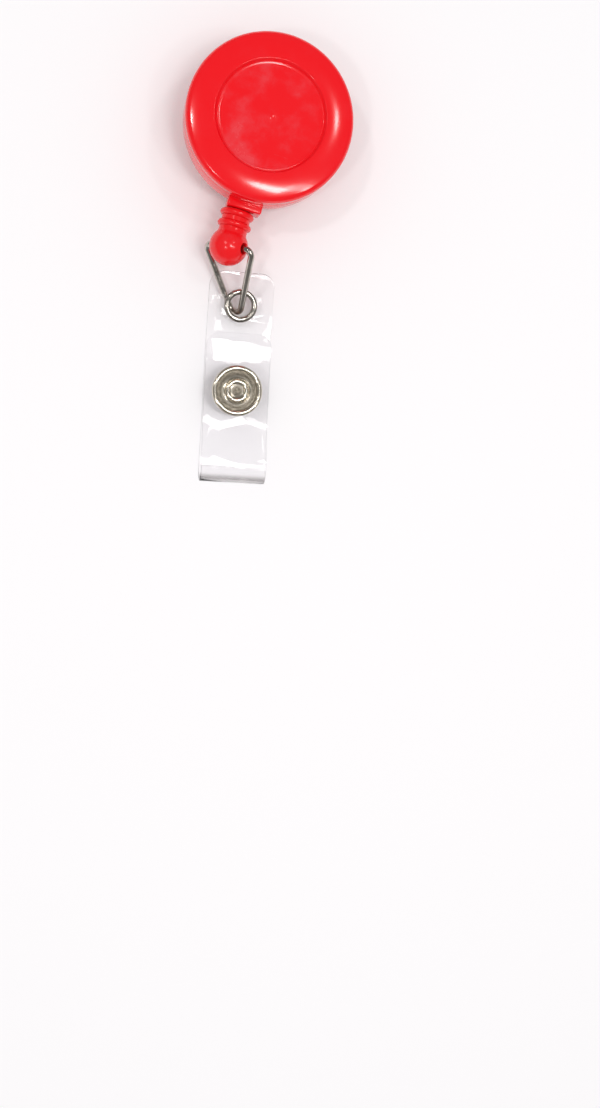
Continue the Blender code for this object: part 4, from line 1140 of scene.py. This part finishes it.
def build_snap_socket():
    """Cup behind the front layer, which takes the stud."""
    web = SNAP_WEB
    bore, opening = SNAP_TUBE + TOUCH, STUD_RADIUS + AIR
    low = -LAYER_FACE - SOCKET_HEIGHT
    under = -LAYER_FACE - web
    socket = [(bore, -LAYER_FACE), (bore, under), (opening + web / 2, under)]
    socket += arc(opening + web, low + web, web, 180, 270, 6)
    socket += arc(SOCKET_RADIUS - web, low + web, web, 270, 360, 6)
    socket += arc(SOCKET_RADIUS - web, under, web, 0, 90, 6)
    cup = turned(socket, 96)
    put(cup, snap_place(SNAP_FRONT_Z))
    finished(cup, "snap_socket_cup", NICKEL, "flap", ["snap_socket"])


def build_snap_stud():
    """Stud on the back layer, and the flanged post that holds it from behind."""
    web, bore = SNAP_WEB, SNAP_TUBE + TOUCH
    top = LAYER_FACE + STUD_HEIGHT
    neck = STUD_RADIUS - STUD_WALL / 2
    stud = [
        (0, top - STUD_WALL), (bore, top - STUD_WALL), (bore, LAYER_FACE),
        (STUD_BASE, LAYER_FACE), (STUD_BASE, LAYER_FACE + 0.6 * web),
        (STUD_BASE - 0.4 * web, LAYER_FACE + web),
        (neck + 0.1 * MM, LAYER_FACE + web), (neck, LAYER_FACE + web + 0.1 * MM),
        *arc(neck, LAYER_FACE + 0.7 * STUD_HEIGHT, STUD_RADIUS - neck, -60, 60, 8),
        (neck - 0.1 * MM, top - 0.05 * MM), (neck - 0.35 * MM, top), (0, top),
    ]
    knob = turned(stud, 96, closed=False)
    put(knob, snap_place(SNAP_BACK_Z))
    finished(knob, "snap_stud_knob", NICKEL, "strap", ["snap_stud"])

    bottom = -LAYER_FACE - POST_FLANGE
    post_top = top - STUD_WALL - TOUCH
    post = [
        (0, bottom + 0.1 * MM), (1.2 * MM, bottom + 0.1 * MM), (1.5 * MM, bottom),
        *arc(POST_FLANGE_RADIUS - web, bottom + web, web, -90, 0, 8),
        (POST_FLANGE_RADIUS, -LAYER_FACE), (SNAP_TUBE, -LAYER_FACE),
        (SNAP_TUBE, post_top), (0, post_top),
    ]
    rivet = turned(post, 96, closed=False)
    put(rivet, snap_place(SNAP_BACK_Z))
    finished(rivet, "snap_post_flange", NICKEL, "strap", ["snap_post"])


# --- clip and inner pieces --------------------------------------------------------------------

def build_clip():
    """The clip's two stampings and its hinge pin, with their sharp edges rolled over."""
    for node, body, name, edge in (
        ("clip_upper_jaw", "clip", "clip_top_plate", 0.12 * MM),
        ("clip_lower_jaw", "clip_jaw", "clip_lower_plate", 0.12 * MM),
        ("clip_pin", "clip", "clip_hinge_pin", 0.08 * MM),
    ):
        piece = softened(copied(node), edge, 2, 35)
        finished(piece, name, STEEL, body, [node], 32)


def finish_inner_nodes():
    """Finishes for the inside pieces, whose own shapes are kept."""
    finishes = {
        "spool": BLACK,
        "spring_cap": BLACK,
        "wound_cord": BRAID,
        "cord_inner_run": BRAID,
        "cord_knot": BRAID,
        "swivel_washer": WHITE,
        "power_spring": STEEL,
        "clip_spring": STEEL,
        "swivel_rivet": STEEL,
    }
    for node, material in finishes.items():
        obj = frame["nodes"][node]
        obj.data.materials.clear()
        obj.data.materials.append(material)


bpy.context.scene.view_settings.view_transform = "Standard"
place_camera()
place_lamps()
make_world()
make_floor()
build_cover()
build_rear()
build_fitting()
build_cord()
build_wire()
build_strap()
build_eyelet()
build_snap_cap()
build_snap_socket()
build_snap_stud()
build_clip()
finish_inner_nodes()
deselect()
